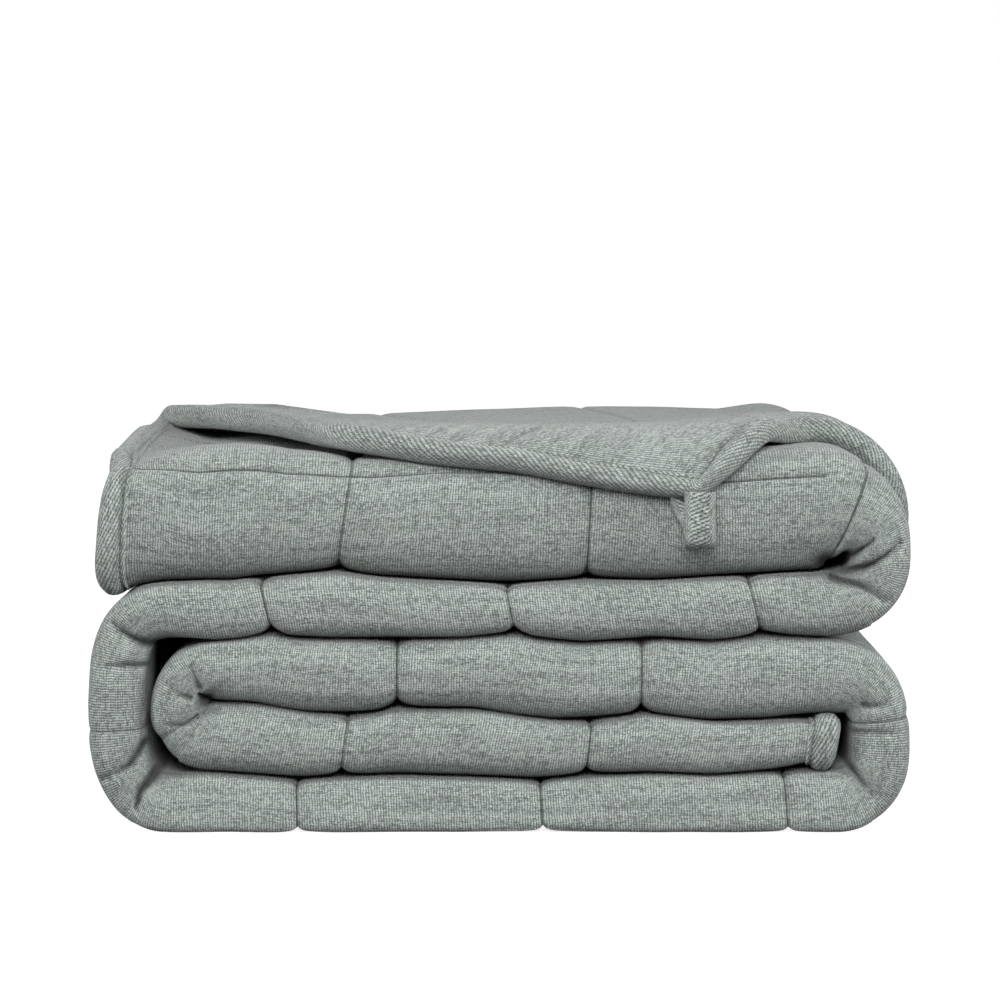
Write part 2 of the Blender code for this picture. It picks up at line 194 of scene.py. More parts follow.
def turn_points(turn, before, after):
    """Points round a turn between two courses."""
    start_x = turn.side * (turn.reach - turn.run)
    (before_z, before_half), (after_z, after_half) = course_at(before, start_x), course_at(after, start_x)
    rising = 1 if after_z > before_z else -1
    power = 2 / turn.squareness
    found = []
    steps = int(math.pi * max(turn.run, abs(after_z - before_z) / 2) / PATH_STEP)
    for step in range(1, steps):
        angle = math.pi * (step / steps - 0.5)
        leaving, half = (after_z, after_half) if angle > 0 else (before_z, before_half)
        out = turn.run * math.cos(angle) ** power
        lift = abs(leaving - turn.crease) * abs(math.sin(angle)) ** power
        x = turn.side * (turn.reach - turn.run + out)
        z = turn.crease + rising * math.copysign(lift, angle)
        share = abs(angle) / (math.pi / 2)
        found.append(PathPoint(
            x, z, mix(turn.half, half, smooth(share)),
            mix(before.loose, after.loose, smooth(step / steps)),
            mix(before.lean, after.lean, step / steps)))
    return found


def course_points(course, start, end):
    """Points along a course's middle."""
    count = max(2, int(abs(end - start) / PATH_STEP))
    found = []
    for x in np.linspace(start, end, count):
        z, half = course_at(course, x)
        found.append(PathPoint(x, z, half, course.loose, course.lean))
    return found


def softened(values, reach):
    """A running mean of a line's values, its two ends held."""
    window = np.hanning(2 * reach + 1)
    padded = np.concatenate([np.full(reach, values[0]), values, np.full(reach, values[-1])])
    return np.convolve(padded, window / window.sum(), mode="valid")


print("first turn:", len(turn_points(TURNS[0], COURSES[0], COURSES[1])), "points")

# %% [markdown]
# ## Winding the strip
#
# The line starts at the tucked end of the second course and runs course, turn, course, turn to the
# hem at the left of the top course. On the way it notes where each seam across the strip falls: one
# every quilting pitch along a course, and one in each turn. None lies so close to a hem or to a turn
# that it would run into it.

# %% Middle line
CLEAR_OF_HEM, CLEAR_AFTER_TURN, CLEAR = 0.022, 0.012, 0.004
path, seam_marks, start = [], [], TUCKED_END
for number, course in enumerate(COURSES):
    last = number == len(COURSES) - 1
    turn = None if last else TURNS[number]
    end = LEFT_END if last else turn.side * (turn.reach - turn.run)
    first = len(path)
    path += course_points(course, start, end)
    xs = np.array([p.x for p in path[first:]])
    first_or_last = number in (0, len(COURSES) - 1)
    clear = CLEAR_OF_HEM if first_or_last else CLEAR_AFTER_TURN
    low = min(start, end) + (clear if end < start else CLEAR)
    high = max(start, end) - (CLEAR_OF_HEM if number == 0 else CLEAR)
    for count in range(-3, 4):
        seam = course.seam_x + count * QUILT_PITCH
        if low < seam < high:
            seam_marks.append(first + int(np.argmin(abs(xs - seam))))
    if turn:
        first = len(path)
        path += turn_points(turn, course, COURSES[number + 1])
        seam_marks.append(first + int(turn.seam * (len(path) - first)))
        start = end

path = PathPoint(*(np.array(column) for column in zip(*path)))
path = path._replace(**{name: softened(getattr(path, name), 5) for name in ("x", "z", "half", "lean")})
path_length = np.concatenate([[0.0], np.cumsum(np.hypot(np.diff(path.x), np.diff(path.z)))])
STRIP_LENGTH = path_length[-1]
SEAMS_ACROSS = path_length[sorted(seam_marks)]
print("strip", round(STRIP_LENGTH, 3), "m long, seams at", np.round(SEAMS_ACROSS, 3))

# %% [markdown]
# ## The grid
#
# Lines of the grid crowd together at a seam and at a hem, where the cloth turns sharply, and spread
# out between them. That keeps the mesh light where nothing happens.

# %% Lines of the grid
BINDING_WIDTH = 0.013
HEM_INSETS = (0.0, 0.0014, 0.0036, 0.0062, 0.0088, 0.0108, 0.0119, BINDING_WIDTH)


def crowded(low, high, seams, closest=0.0008, growth=0.33, widest=lambda place: 0.0075):
    """Places from low to high whose spacing grows with their distance from the nearest seam."""
    found = [low]
    while found[-1] < high:
        here = found[-1]
        away = min(abs(np.array(seams) - here - closest))
        found.append(here + min(widest(here), closest + growth * away))
    return [place for place in found if place < high - closest]


STRAIGHT_STEP, TURN_STEP = 0.0064, 0.00125
TURN_NEAR, TURN_SLOPE = 0.008, 0.35


def widest_line(place):
    """Lines stay close together round the turns, where the cloth creases."""
    nearby = [place - TURN_NEAR, place, place + TURN_NEAR]
    slopes = abs(np.interp(nearby, path_length, np.gradient(path.z))) / PATH_STEP
    return mix(STRAIGHT_STEP, TURN_STEP, smooth(max(slopes) / TURN_SLOPE))


after_hem = (0.0145, 0.0165, 0.0190, 0.0225, 0.0270)
PAST_HEM = 0.032
along_strip = list(HEM_INSETS + after_hem)
along_strip += crowded(PAST_HEM, STRIP_LENGTH - PAST_HEM, SEAMS_ACROSS, widest=widest_line)
along_strip += [STRIP_LENGTH - inset for inset in (HEM_INSETS + after_hem)[::-1]]
along_strip = np.array(along_strip)
print(len(along_strip), "lines")

# %% [markdown]
# ## The middle line at the grid's lines
#
# Each line of the grid takes its place, its half thickness and its heading from the middle line. Up is
# square to the heading, so a section of the strip turns with it. At the left end of the top course the
# real hem stands upright, whatever the heading is, so there up is turned back to straight up.

# %% Headings
def at_lines(values):
    """A value along the middle line, taken at the grid's lines."""
    return np.interp(along_strip, path_length, values)[:, None]


line_x, line_z, line_half = at_lines(path.x), at_lines(path.z), at_lines(path.half)
line_loose, line_lean = at_lines(path.loose), at_lines(path.lean)
from_left_end = STRIP_LENGTH - along_strip[:, None]
TOP_RUN = TURNS[-1].reach - TURNS[-1].run - LEFT_END
on_top = from_left_end <= TOP_RUN
HEADING_REACH = 14
UPRIGHT_TO, UPRIGHT_FADES = 0.030, 0.060
tangent_x = at_lines(np.gradient(softened(path.x, HEADING_REACH)))
tangent_z = at_lines(np.gradient(softened(path.z, HEADING_REACH)))
tangent_length = np.hypot(tangent_x, tangent_z)
up_x, up_z = tangent_z / tangent_length, -tangent_x / tangent_length
up_x = up_x * smooth((from_left_end - UPRIGHT_TO) / UPRIGHT_FADES)
up_x, up_z = up_x / np.hypot(up_x, up_z), up_z / np.hypot(up_x, up_z)
print("the top course is", round(TOP_RUN, 3), "m long, with", int(on_top.sum()), "lines")

# %% [markdown]
# ## Rows of the grid
#
# The strip's three cloths and two folds are five runs of rows: lower panel, front fold (the nose),
# middle panel, back fold, upper panel. A row's q is its distance from the hem in the lower and the
# upper panel, and its depth behind the front in the middle panel. In the two folds it runs from nought
# to one. Rows crowd at the quilting and in front, where the eye is closest, and spread out behind.

# %% Rows of the grid
LOWER, NOSE, MIDDLE, BACK, UPPER = range(5)
NOMINAL_NOSE, NOMINAL_FOLD = 0.015, 0.445
LOWER_KEPT, MIDDLE_KEPT, UPPER_KEPT = 0.400, 0.150, 0.250
UPPER_WIDTH = 0.370
NOSE_SEAM = 0.70
SEAM_DEPTHS_LOWER = (0.075, 0.195, 0.315)
SEAM_DEPTHS_MIDDLE = (0.125, 0.245, 0.365)
SEAM_INSETS_UPPER = (0.1205, 0.241)

lower_seams = [STACK_DEPTH - depth for depth in SEAM_DEPTHS_LOWER]
lower_rows = list(HEM_INSETS + after_hem)
lower_rows += crowded(PAST_HEM, STACK_DEPTH - NOMINAL_NOSE, lower_seams, 0.0022, 0.5,
                      lambda q: mix(0.014, 0.0016, smooth((q - 0.40) / 0.03)))
nose_rows = np.concatenate([np.linspace(0, 0.66, 37), NOSE_SEAM + np.array(
    (-0.024, -0.014, -0.007, 0.0, 0.007, 0.014, 0.024)), np.linspace(0.74, 1.0, 14)])
middle_rows = crowded(NOMINAL_NOSE + 0.0015, NOMINAL_FOLD, SEAM_DEPTHS_MIDDLE, 0.0018, 0.5,
                      lambda q: mix(0.0016, 0.012, smooth((q - 0.025) / 0.05)))
back_rows = np.linspace(0, 1, 11)
upper_rows = crowded(PAST_HEM, UPPER_WIDTH - 0.003, SEAM_INSETS_UPPER, 0.0012, 0.35,
                     lambda q: mix(0.0045, 0.010, smooth((q - 0.10) / 0.06)))[::-1]
upper_rows += list((HEM_INSETS + after_hem)[::-1])
row_panel = np.repeat((LOWER, NOSE, MIDDLE, BACK, UPPER), [
    len(rows) for rows in (lower_rows, nose_rows, middle_rows, back_rows, upper_rows)])[None, :]
row_q = np.concatenate([lower_rows, nose_rows, middle_rows, back_rows, upper_rows])[None, :]
is_lower, is_nose, is_middle, is_back, is_upper = (row_panel == panel for panel in range(5))
print(row_q.size, "rows across", len(along_strip), "lines:", 4 * row_q.size * len(along_strip), "triangles")

# %% [markdown]
# ## The section of the strip
#
# Across the strip the cloth runs forward as the lower panel, round the front fold, back as the middle
# panel, round the back fold and forward again as the upper panel. Each panel is a real layer with two
# faces. The face called `outer` is the one that shows at the front fold; `inner` is the other one,
# which shows at the back fold and on top of the flap. In the top course the upper panel is the loose
# flap, and the two panels below it fill the whole height at the front and settle behind it. It could
# be drawn as one closed outline and swept, but then the layers couldn't change along the strip, so
# each panel's depth and height are worked out on their own.

# %% Sizes of the section
PRESSED_GAP, PRESSED_NOSE_GAP = 0.0020, 0.0030
LOOSE_NOSE_GAP, LOOSE_PANEL, LOOSE_GAP = 0.0120, 0.0238, 0.0065
FLAP_THICKNESS, FLAP_RISE = 0.012, 0.0025
LOOSE_NOSE_DEPTH, NOSE_ENDS = 0.024, 0.05
FLAP_FOLD_LEFT = 0.300
HEM_DEPTH = 0.098
CREST = TOP_HALF
DOME_AT_TURN = 0.0039
CREST_RADIUS = TOP_HALF + FLAP_RISE + FLAP_THICKNESS / 2
SIDE_REACH_AT_TURN = 0.030
RIM_SITS, RIM_WIDTH = 0.0020, 0.032
LOOSE_FOLD_RADIUS = 0.0225
HEM_STANDS_AT = 0.1942


def spread(q, full, length, kept):
    """Keeps distances up to kept, and stretches the rest so that full comes out at length."""
    return np.where(q < kept, q, kept + (q - kept) * (length - kept) / (full - kept))


def dome_over(x):
    """How much higher the course below stands towards the right."""
    return np.interp(x, (0.085, 0.125, 0.157), (0.0, 0.0036, DOME_AT_TURN))


def flap_height(x, reach, from_hem):
    """Height of the flap's middle behind the crest: it sinks towards the back, and its end hem
    stands up over a hollow at the left."""
    drop = np.interp(x, (-0.19, -0.15, -0.09, 0.05, 0.15), (0.0050, 0.0065, 0.0085, 0.008, 0.0125))
    fall = np.interp(x, (0.05, 0.13), (0.16, 0.34))
    height = TOP_MIDDLE + CREST_RADIUS - drop * smooth(reach / fall)
    height = height + dome_over(x) * mix(1.0, smooth((x - 0.13) / 0.027), smooth((reach - 0.05) / 0.15))
    hold = smooth(1 - from_hem / 0.06) * smooth(reach / 0.04)
    return mix(height, HEM_STANDS_AT - 0.0030 * smooth((reach - 0.17) / 0.09), hold)


print("the flap's middle over the turn:", round(float(flap_height(0.157, 0.0, 1.0)), 4))

# %% [markdown]
# ## Layers of the section
#
# In the lower courses the three cloths are pressed to equal thirds of the height. In the top course
# two thick ones fill it and the third lies loose on top. Loose is nought in the lower courses and one
# in the top one, so every size goes over from pressed to loose round the last turn.

# %% Layers
TURN_X = TURNS[-1].reach - TURNS[-1].run
scale = line_half / TOP_HALF
pressed = (2 * line_half - 2 * PRESSED_GAP) / 3
panel = mix(pressed, LOOSE_PANEL * scale, line_loose)
panel_gap = mix(PRESSED_GAP, LOOSE_GAP * scale, line_loose)
upper_half = mix(pressed, FLAP_THICKNESS * scale, line_loose) / 2
nose_gap = mix(PRESSED_NOSE_GAP, LOOSE_NOSE_GAP * scale, line_loose) / 2
nose_depth = mix(line_half, LOOSE_NOSE_DEPTH * scale, line_loose)
along_top = np.clip(1 - from_left_end / TOP_RUN, 0, 1)
askew = smooth(along_top) * on_top
fold_reach = mix(STACK_DEPTH, FLAP_FOLD_LEFT, askew)
settled_outer = -line_half + 2 * panel + panel_gap
settled_inner = -line_half + panel + panel_gap

fold_radius = LOOSE_FOLD_RADIUS * line_loose + (1 - line_loose) * (line_half - settled_inner) / 2
fold_centre = fold_reach - fold_radius
hem_depth = mix(HEM_DEPTH, CREST + SIDE_REACH_AT_TURN, smooth(line_loose))
upper_depth = hem_depth + spread(row_q, UPPER_WIDTH, fold_centre - hem_depth, UPPER_KEPT)
rim_drop = RIM_SITS * smooth(1 - row_q / RIM_WIDTH)
loose_height = flap_height(TURN_X, upper_depth - CREST, 1.0) - DOME_AT_TURN
loose_height = (loose_height - TOP_MIDDLE - rim_drop) * scale
upper_middle = mix(line_half - pressed / 2, loose_height, line_loose)
fold_top = flap_height(line_x, fold_centre - CREST, from_left_end) - dome_over(line_x)
fold_top = mix(line_half - pressed / 2, (fold_top - TOP_MIDDLE) * scale, line_loose)
print("a pressed panel is", round(float(pressed.min()) * 1000, 1), "mm thick, the flap's fold goes back",
      round(float(fold_reach.min()), 3), "to", round(float(fold_reach.max()), 3), "m")

# %% [markdown]
# ## The nose, and how far back each row lies
#
# The front fold of a filled cloth is a squared round: nearly upright in front, tight at its top and
# bottom, and tighter still where it stands on the floor. On the top course one line of quilting runs
# along the nose and wanders up and down a little, so its rows are shifted to follow it.

# %% Nose and depths
NOSE_SQUARENESS, FLOOR_SQUARENESS = 2.4, 2.2
SHIFT_AT = (-0.180, -0.166, -0.150, -0.080, -0.030, 0.050, 0.090, 0.130)
SHIFTS = (0.18, 0.08, 0.01, 0.03, 0.12, 0.12, 0.0, -0.03)
seam_shift = np.interp(line_x, SHIFT_AT, SHIFTS)
toward_seam = np.where(row_q < NOSE_SEAM, row_q / NOSE_SEAM, (1 - row_q) / (1 - NOSE_SEAM))
nose_angle = math.pi * (row_q + seam_shift * line_loose * toward_seam - 0.5) * is_nose
on_floor = smooth(1 - (line_z - line_half) / 0.004) * (nose_angle < 0)
power = 2 / (NOSE_SQUARENESS + FLOOR_SQUARENESS * on_floor)
nose_out = np.abs(np.cos(nose_angle)) ** power
nose_lift = np.sign(nose_angle) * np.abs(np.sin(nose_angle)) ** power
lower_depth = STACK_DEPTH - row_q
near = (row_q - LOWER_KEPT) / (STACK_DEPTH - NOMINAL_NOSE - LOWER_KEPT)
lower_depth = np.where(near < 0, lower_depth, mix(STACK_DEPTH - LOWER_KEPT, nose_depth, near))
middle_depth = (row_q - MIDDLE_KEPT) * (fold_centre - MIDDLE_KEPT) / (NOMINAL_FOLD - MIDDLE_KEPT)
middle_depth = np.where(row_q < MIDDLE_KEPT, row_q, MIDDLE_KEPT + middle_depth)
near = (row_q - NOMINAL_NOSE) / NOSE_ENDS
middle_depth = np.where(near < 1, mix(nose_depth, NOMINAL_NOSE + NOSE_ENDS, near), middle_depth)
print("the nose is", round(float(nose_depth.min()), 4), "to", round(float(nose_depth.max()), 4), "m deep")

# %% [markdown]
# ## How the layers settle
#
# Behind the nose the weight of the filling lets the panels sink onto each other. Where they start to
# sink and over what length differs between the pressed courses and the loose one, and at the left end
# the middle panel stays up, because the hem is stiff there.

# %% Settling
past_hem = mix(-0.008, 0.012, smooth((line_loose - 0.5) / 0.4))
settle_from = mix(hem_depth + past_hem, mix(0.035, 0.085, smooth((line_x - 0.07) / 0.06)), line_loose)
settle_over = mix(0.020, mix(0.040, 0.100, smooth((line_x - 0.07) / 0.06)), line_loose)
settle_lower = smooth((lower_depth - 0.035) / 0.040)
settle_middle = smooth((middle_depth - settle_from) / settle_over)
RIM_DEPTHS, RIM_RISES = (0.025, 0.050, 0.080, 0.160, 0.280), (0.0, 0.006, 0.0115, 0.0155, 0.0180)
end_flare = np.interp(middle_depth, RIM_DEPTHS, RIM_RISES) * smooth(1 - from_left_end / 0.045)

fold_angle = math.pi * (row_q - 0.5) * is_back
inner_low, inner_high = settled_inner, fold_top + upper_half
outer_low, outer_high = settled_outer, fold_top - upper_half


def by_panel(lower, nose, middle, back, upper):
    """Puts the five panels' values side by side."""
    shape = (len(along_strip), row_q.size)
    parts = [np.broadcast_to(part, shape) for part in (lower, nose, middle, back, upper)]
    return np.choose(np.broadcast_to(row_panel, shape), parts)


print("the middle panel rises", round(float(end_flare.max()) * 1000, 1), "mm at the left end")

# %% [markdown]
# ## The two faces in space
#
# Depths and heights of the five runs of rows are put side by side and laid along the middle line. A
# seam across the strip leans a little in front, as it does on the real stack, and the hem at the left
# end is tucked in at its top and bottom. On the floor the cloth spreads and is pressed flat.

# %% The two faces
outer_depth = by_panel(
    lower_depth, nose_depth * (1 - nose_out), middle_depth,
    fold_centre + (outer_high - outer_low) / 2 * np.cos(fold_angle), upper_depth)
outer_height = by_panel(
    -line_half, line_half * nose_lift,
    mix(line_half, settled_outer, settle_middle) + end_flare,
    (outer_high + outer_low) / 2 + (outer_high - outer_low) / 2 * np.sin(fold_angle),
    upper_middle - upper_half)
inner_depth = by_panel(
    lower_depth, nose_depth - nose_gap * np.cos(nose_angle), middle_depth,
    fold_centre + fold_radius * np.cos(fold_angle), upper_depth)
inner_height = by_panel(
    mix(-nose_gap, -line_half + panel, settle_lower), nose_gap * np.sin(nose_angle),
    mix(nose_gap, settled_inner, settle_middle) + end_flare,
    (inner_high + inner_low) / 2 + (inner_high - inner_low) / 2 * np.sin(fold_angle),
    upper_middle + upper_half)

END_TUCK = 0.0022
FLOOR_SPREAD, FLOOR_PRESS = 0.0030, 0.0010


def in_space(depth, height):
    """Places of a face of the strip, from its depth and its height over the middle line."""
    lean = line_lean * height / (2 * line_half) * (1 - smooth(depth / 0.06)) * (np.abs(up_z) > 0.9)
    tuck = END_TUCK * smooth(1 - from_left_end / 0.03) * np.minimum(1, np.abs(height) / line_half) ** 5
    x = line_x + height * up_x + lean * np.sign(up_z) + tuck
    return np.stack([x, FRONT_Y + depth, line_z + height * up_z], axis=-1)


outer, inner = in_space(outer_depth, outer_height), in_space(inner_depth, inner_height)
low = smooth(1 - outer[..., 2] / 0.020) * (is_nose | is_lower) * smooth(1 - outer_depth / 0.05)
outer[..., 1] -= FLOOR_SPREAD * low
outer[..., 2] = np.maximum(0.0, outer[..., 2] - FLOOR_PRESS * low)
print("section from", outer.reshape(-1, 3).min(0).round(3), "to", outer.reshape(-1, 3).max(0).round(3))

# %% [markdown]
# ## The knit's own measure
#
# Round a turn the outside is longer than the inside. The knit is laid true along the outside, where
# it is seen flat, and the creases take up what is too much inside.

# %% Lengths along the knit
nose_columns = np.flatnonzero(is_nose[0])
line_steps = np.linalg.norm(np.diff(outer[:, nose_columns], axis=0), axis=-1)
longest = np.percentile(line_steps, 88, axis=1)
knit_u = np.concatenate([[0.0], np.cumsum(longest)])[:, None]
print("knit", round(float(knit_u[-1, 0]), 3), "m along the outside of the turns")

# %% [markdown]
# ## The flap
#
# On the top course the back fold runs askew, so the flap's end hem crosses the stack to the front
# edge and hangs over it. Its plan is a patch stretched between its four sides: the back fold, the
# turn that it comes from, the side hem and the end hem. It is drawn flat, as x and reach behind the
# crest of the front fold, and then laid over the crest, where a negative reach hangs down in front.
# A cloth simulation could drop it there, but wouldn't put its corner where the real one lies.

# %% Hems of the flap
HemPoint = namedtuple("HemPoint", "x reach")
END_HEM = (
    HemPoint(-0.1960, 0.250), HemPoint(-0.1730, 0.205), HemPoint(-0.1254, 0.120),
    HemPoint(-0.0980, 0.030), HemPoint(-0.0830, -0.010), HemPoint(-0.0385, -0.027),
    HemPoint(0.0107, -0.034), HemPoint(0.0340, -0.041), HemPoint(0.0730, -0.048),
    HemPoint(0.1000, -0.051),
)
SIDE_HEM = (
    HemPoint(0.1570, SIDE_REACH_AT_TURN), HemPoint(0.1525, 0.0245), HemPoint(0.1475, 0.0170),
    HemPoint(0.1384, 0.0010), HemPoint(0.1286, -0.0180), HemPoint(0.1190, -0.0310),
    HemPoint(0.1090, -0.0430), HemPoint(0.1000, -0.0510),
)
FLAP_LENGTH_BACK, FLAP_LENGTH_FRONT = 0.350, 0.125
FLAP_WIDTH_RIGHT, FLAP_WIDTH_LEFT = 0.370, 0.500
SQUARE_ROWS = 0.075


def hem_curve(points):
    """A hem drawn through its points, its corners softened, as shares of its length, x and reach."""
    x, reach = (np.array(values) for values in zip(*points))
    length = np.concatenate([[0], np.cumsum(np.hypot(np.diff(x), np.diff(reach)))])
    shares = np.linspace(0, 1, 401)
    ends = softened(np.interp(shares, length / length[-1], x), 22), softened(
        np.interp(shares, length / length[-1], reach), 22)
    return (shares, *ends)


def along_hem(curve, share):
    """A place on a hem, as x and reach."""
    return np.stack([np.interp(share, curve[0], curve[1]), np.interp(share, curve[0], curve[2])], axis=-1)


end_curve, side_curve = hem_curve(END_HEM), hem_curve(SIDE_HEM)
print("the flap's hems meet at", END_HEM[-1])

# %% [markdown]
# ## Laying the flap
#
# A patch between four curves is filled in by adding the two ways across it and taking away the way
# between its corners. Near the side hem the rows are kept square to the hem instead, so that the
# binding has the same width all along. The rim sinks a little, because no filling holds it up.

# %% Flap
def flap_plan(along, across):
    """A place on the flap in x and reach, from its shares along and across the patch."""
    corner_back = np.array((TURN_X, STACK_DEPTH - LOOSE_FOLD_RADIUS - CREST))
    corner_turn = np.array((TURN_X, SIDE_REACH_AT_TURN))
    corner_left = np.array((END_HEM[0].x, FLAP_FOLD_LEFT - LOOSE_FOLD_RADIUS - CREST))
    corner_tip = np.array(END_HEM[-1])
    fold = mix(STACK_DEPTH, FLAP_FOLD_LEFT, smooth(along)) - LOOSE_FOLD_RADIUS - CREST
    back = np.stack([mix(TURN_X, END_HEM[0].x, along), fold], axis=-1)
    along, across = along[..., None], across[..., None]
    turn = mix(corner_back, corner_turn, across)
    sides = mix(back, along_hem(side_curve, along[..., 0]), across)
    sides += mix(turn, along_hem(end_curve, across[..., 0]), along)
    return sides - mix(mix(corner_back, corner_left, along), mix(corner_turn, corner_tip, along), across)


top_lines = np.flatnonzero(on_top[:, 0])
flap_rows = np.flatnonzero(is_upper[0])
flap = np.ix_(top_lines, flap_rows)
flap_from_end, flap_q = from_left_end[top_lines], row_q[:, flap_rows]
flap_width = mix(FLAP_WIDTH_RIGHT, FLAP_WIDTH_LEFT, along_top[top_lines])
across = 1 - spread(flap_q, UPPER_WIDTH, flap_width, UPPER_KEPT) / flap_width
flap_length = mix(FLAP_LENGTH_BACK, FLAP_LENGTH_FRONT, across)
along = 1 - spread(flap_from_end, TOP_RUN, flap_length, 0.04) / flap_length
plan = flap_plan(along, across)
step = 0.01
run = along_hem(side_curve, np.minimum(along + step, 1))
run = run - along_hem(side_curve, np.maximum(along - step, 0))
run /= np.linalg.norm(run, axis=-1, keepdims=True)
square = along_hem(side_curve, along) + flap_q[..., None] * np.stack([run[..., 1], -run[..., 0]], axis=-1)
hold = smooth(along / 0.3) * smooth((1 - along) / 0.3) * np.maximum(0, 1 - flap_q / SQUARE_ROWS)
plan = mix(plan, square, hold[..., None])

flap_x, reach = plan[..., 0], plan[..., 1]
angle = np.minimum(reach, 0) / CREST_RADIUS
height = flap_height(flap_x, np.maximum(reach, 0), np.broadcast_to(flap_from_end, reach.shape))
past_crest = smooth((reach + 0.002) / 0.020)
height -= RIM_SITS * smooth(1 - flap_q / RIM_WIDTH) * past_crest * smooth(flap_from_end / 0.10)
height = np.where(reach < 0, TOP_MIDDLE + dome_over(flap_x) + CREST_RADIUS * np.cos(angle), height)
depth = CREST + np.maximum(reach, 0) + CREST_RADIUS * np.sin(angle)
middle = np.stack([flap_x, FRONT_Y + depth, height], axis=-1)
outward = np.stack([np.zeros_like(angle), np.sin(angle), np.cos(angle)], axis=-1)
outer[flap] = middle - outward * FLAP_THICKNESS / 2
inner[flap] = middle + outward * FLAP_THICKNESS / 2
print("flap's corner at", middle[-1, -1].round(4))

# %% [markdown]
# ## Hems, sewing and swelling
#
# The quilt is full between its seams and thins to a tongue at its hems, where the binding holds it.
# Every line of quilting pulls both faces in and gathers them into small puckers, and the filling
# lies unevenly in its cells. Each of these moves the two faces along the way they look. The cells
# could be blown up by simulation, but then the gaps between courses wouldn't stay where they are.

# %% Noise and faces
SCRAMBLE, SCRAMBLE_SEED = (374761393, 668265263, 2147483647), 974634777


def lattice(corner, seed):
    """A value from minus one to one for each whole-numbered place, always the same for one seed."""
    mixed = sum(corner[..., axis] * SCRAMBLE[axis] for axis in range(3)) + seed * SCRAMBLE_SEED
    mixed = (mixed ^ (mixed >> 13)) * 1274126177
    mixed = mixed ^ (mixed >> 16)
    return (mixed & 0xFFFF) / 32767.5 - 1


def noise(points, size, seed):
    """Smooth noise in space with lumps of about that size."""
    place = points / size
    cell = np.floor(place).astype(np.int64)
    share = smooth(place - cell)
    total = np.zeros(points.shape[:-1])
    for corner in np.ndindex(2, 2, 2):
        weight = np.prod(np.where(np.array(corner) == 1, share, 1 - share), axis=-1)
        total += weight * lattice(cell + np.array(corner), seed)
    return total


def looking(points):
    """The direction across a face of the strip, from its neighbours along and across."""
    across = np.cross(np.gradient(points, axis=0), np.gradient(points, axis=1))
    return across / np.maximum(np.linalg.norm(across, axis=-1, keepdims=True), 1e-12)


outer_out, inner_out = -looking(outer), looking(inner)
print("the front fold looks", outer_out[len(along_strip) // 2, np.argmax(is_nose) + 12].round(2))

# %% [markdown]
# ## Hems
#
# The maker trims the filling back from the raw edge, so the panel thins over a few millimetres to a
# tongue that the binding can fold over. Here both faces are drawn towards the middle between them. At
# the ends the tongue is drawn towards the face that shows, as the real hem lies in front.

# %% Hems
TONGUE_HALF, LOOSE_TONGUE_HALF = 0.0017, 0.0024
FILLING_STARTS = 0.007
END_HEM_SINKS = 0.0042


def filled(distance):
    """How full the panel is at a distance from its hem."""
    return 1 - np.exp(-np.maximum(0, distance - BINDING_WIDTH) / FILLING_STARTS)


from_start = along_strip[:, None]
from_ends = np.minimum(from_start, from_left_end)
from_side = np.where(is_lower | is_upper, row_q, 1.0)
full = filled(np.minimum(from_ends, from_side))[..., None]
tongue = mix(TONGUE_HALF, LOOSE_TONGUE_HALF, line_loose)[..., None]

centre = (outer + inner) / 2
shown_end = smooth((from_side - 0.03) / 0.03) * ~is_upper * (1 - filled(from_ends)) ** 0.5
centre = mix(centre, outer - outer_out * END_HEM_SINKS, shown_end[..., None])
outer = mix(centre + outer_out * tongue, outer, full)
inner = mix(centre - outer_out * tongue, inner, full)
outer_out, inner_out = -looking(outer), looking(inner)
print("the tongue is", 2000 * TONGUE_HALF, "mm thick, and", 2000 * LOOSE_TONGUE_HALF, "mm on the flap")

# %% [markdown]
# ## Quilting and filling
#
# Each line of quilting is a narrow groove with a wider shoulder, notched where it meets the tight top
# and bottom of the nose. The thread gathers the cloth beside it into puckers a stitch or two apart.
# The filling in a cell is lumpy: more so in front, where nothing presses it, and round the turns.

# %% Seams, puckers and lumps
GROOVE, GROOVE_REACH, SHOULDER, SHOULDER_REACH = 0.0022, 0.0014, 0.0008, 0.008
NOTCH, NOTCH_REACH = 0.0016, 0.0038
PUCKER, PUCKER_PITCH, PUCKER_REACH = 0.0003, 0.0066, 0.006
NOSE_LENGTH = 0.072

nose_seam = np.abs(row_q - NOSE_SEAM) * NOSE_LENGTH
to_long_seam = by_panel(
    np.min([np.abs(STACK_DEPTH - row_q - depth) for depth in SEAM_DEPTHS_LOWER], axis=0),
    mix(1.0, nose_seam, line_loose),
    np.min([np.abs(row_q - depth) for depth in SEAM_DEPTHS_MIDDLE], axis=0),
    1.0,
    np.min([np.abs(row_q - inset) for inset in SEAM_INSETS_UPPER], axis=0))
out_of_turns = smooth(2 * np.abs(up_z) - 0.6)
at_edges = by_panel(0.3, np.abs(nose_lift) ** 6 * (1 - 0.6 * on_floor), 0.3, 0.0, 0.0) * out_of_turns
to_cross_seam = np.min([np.abs(from_start - seam) for seam in SEAMS_ACROSS], axis=0)
slack_in_turns = mix(0.45, 1.0, out_of_turns)


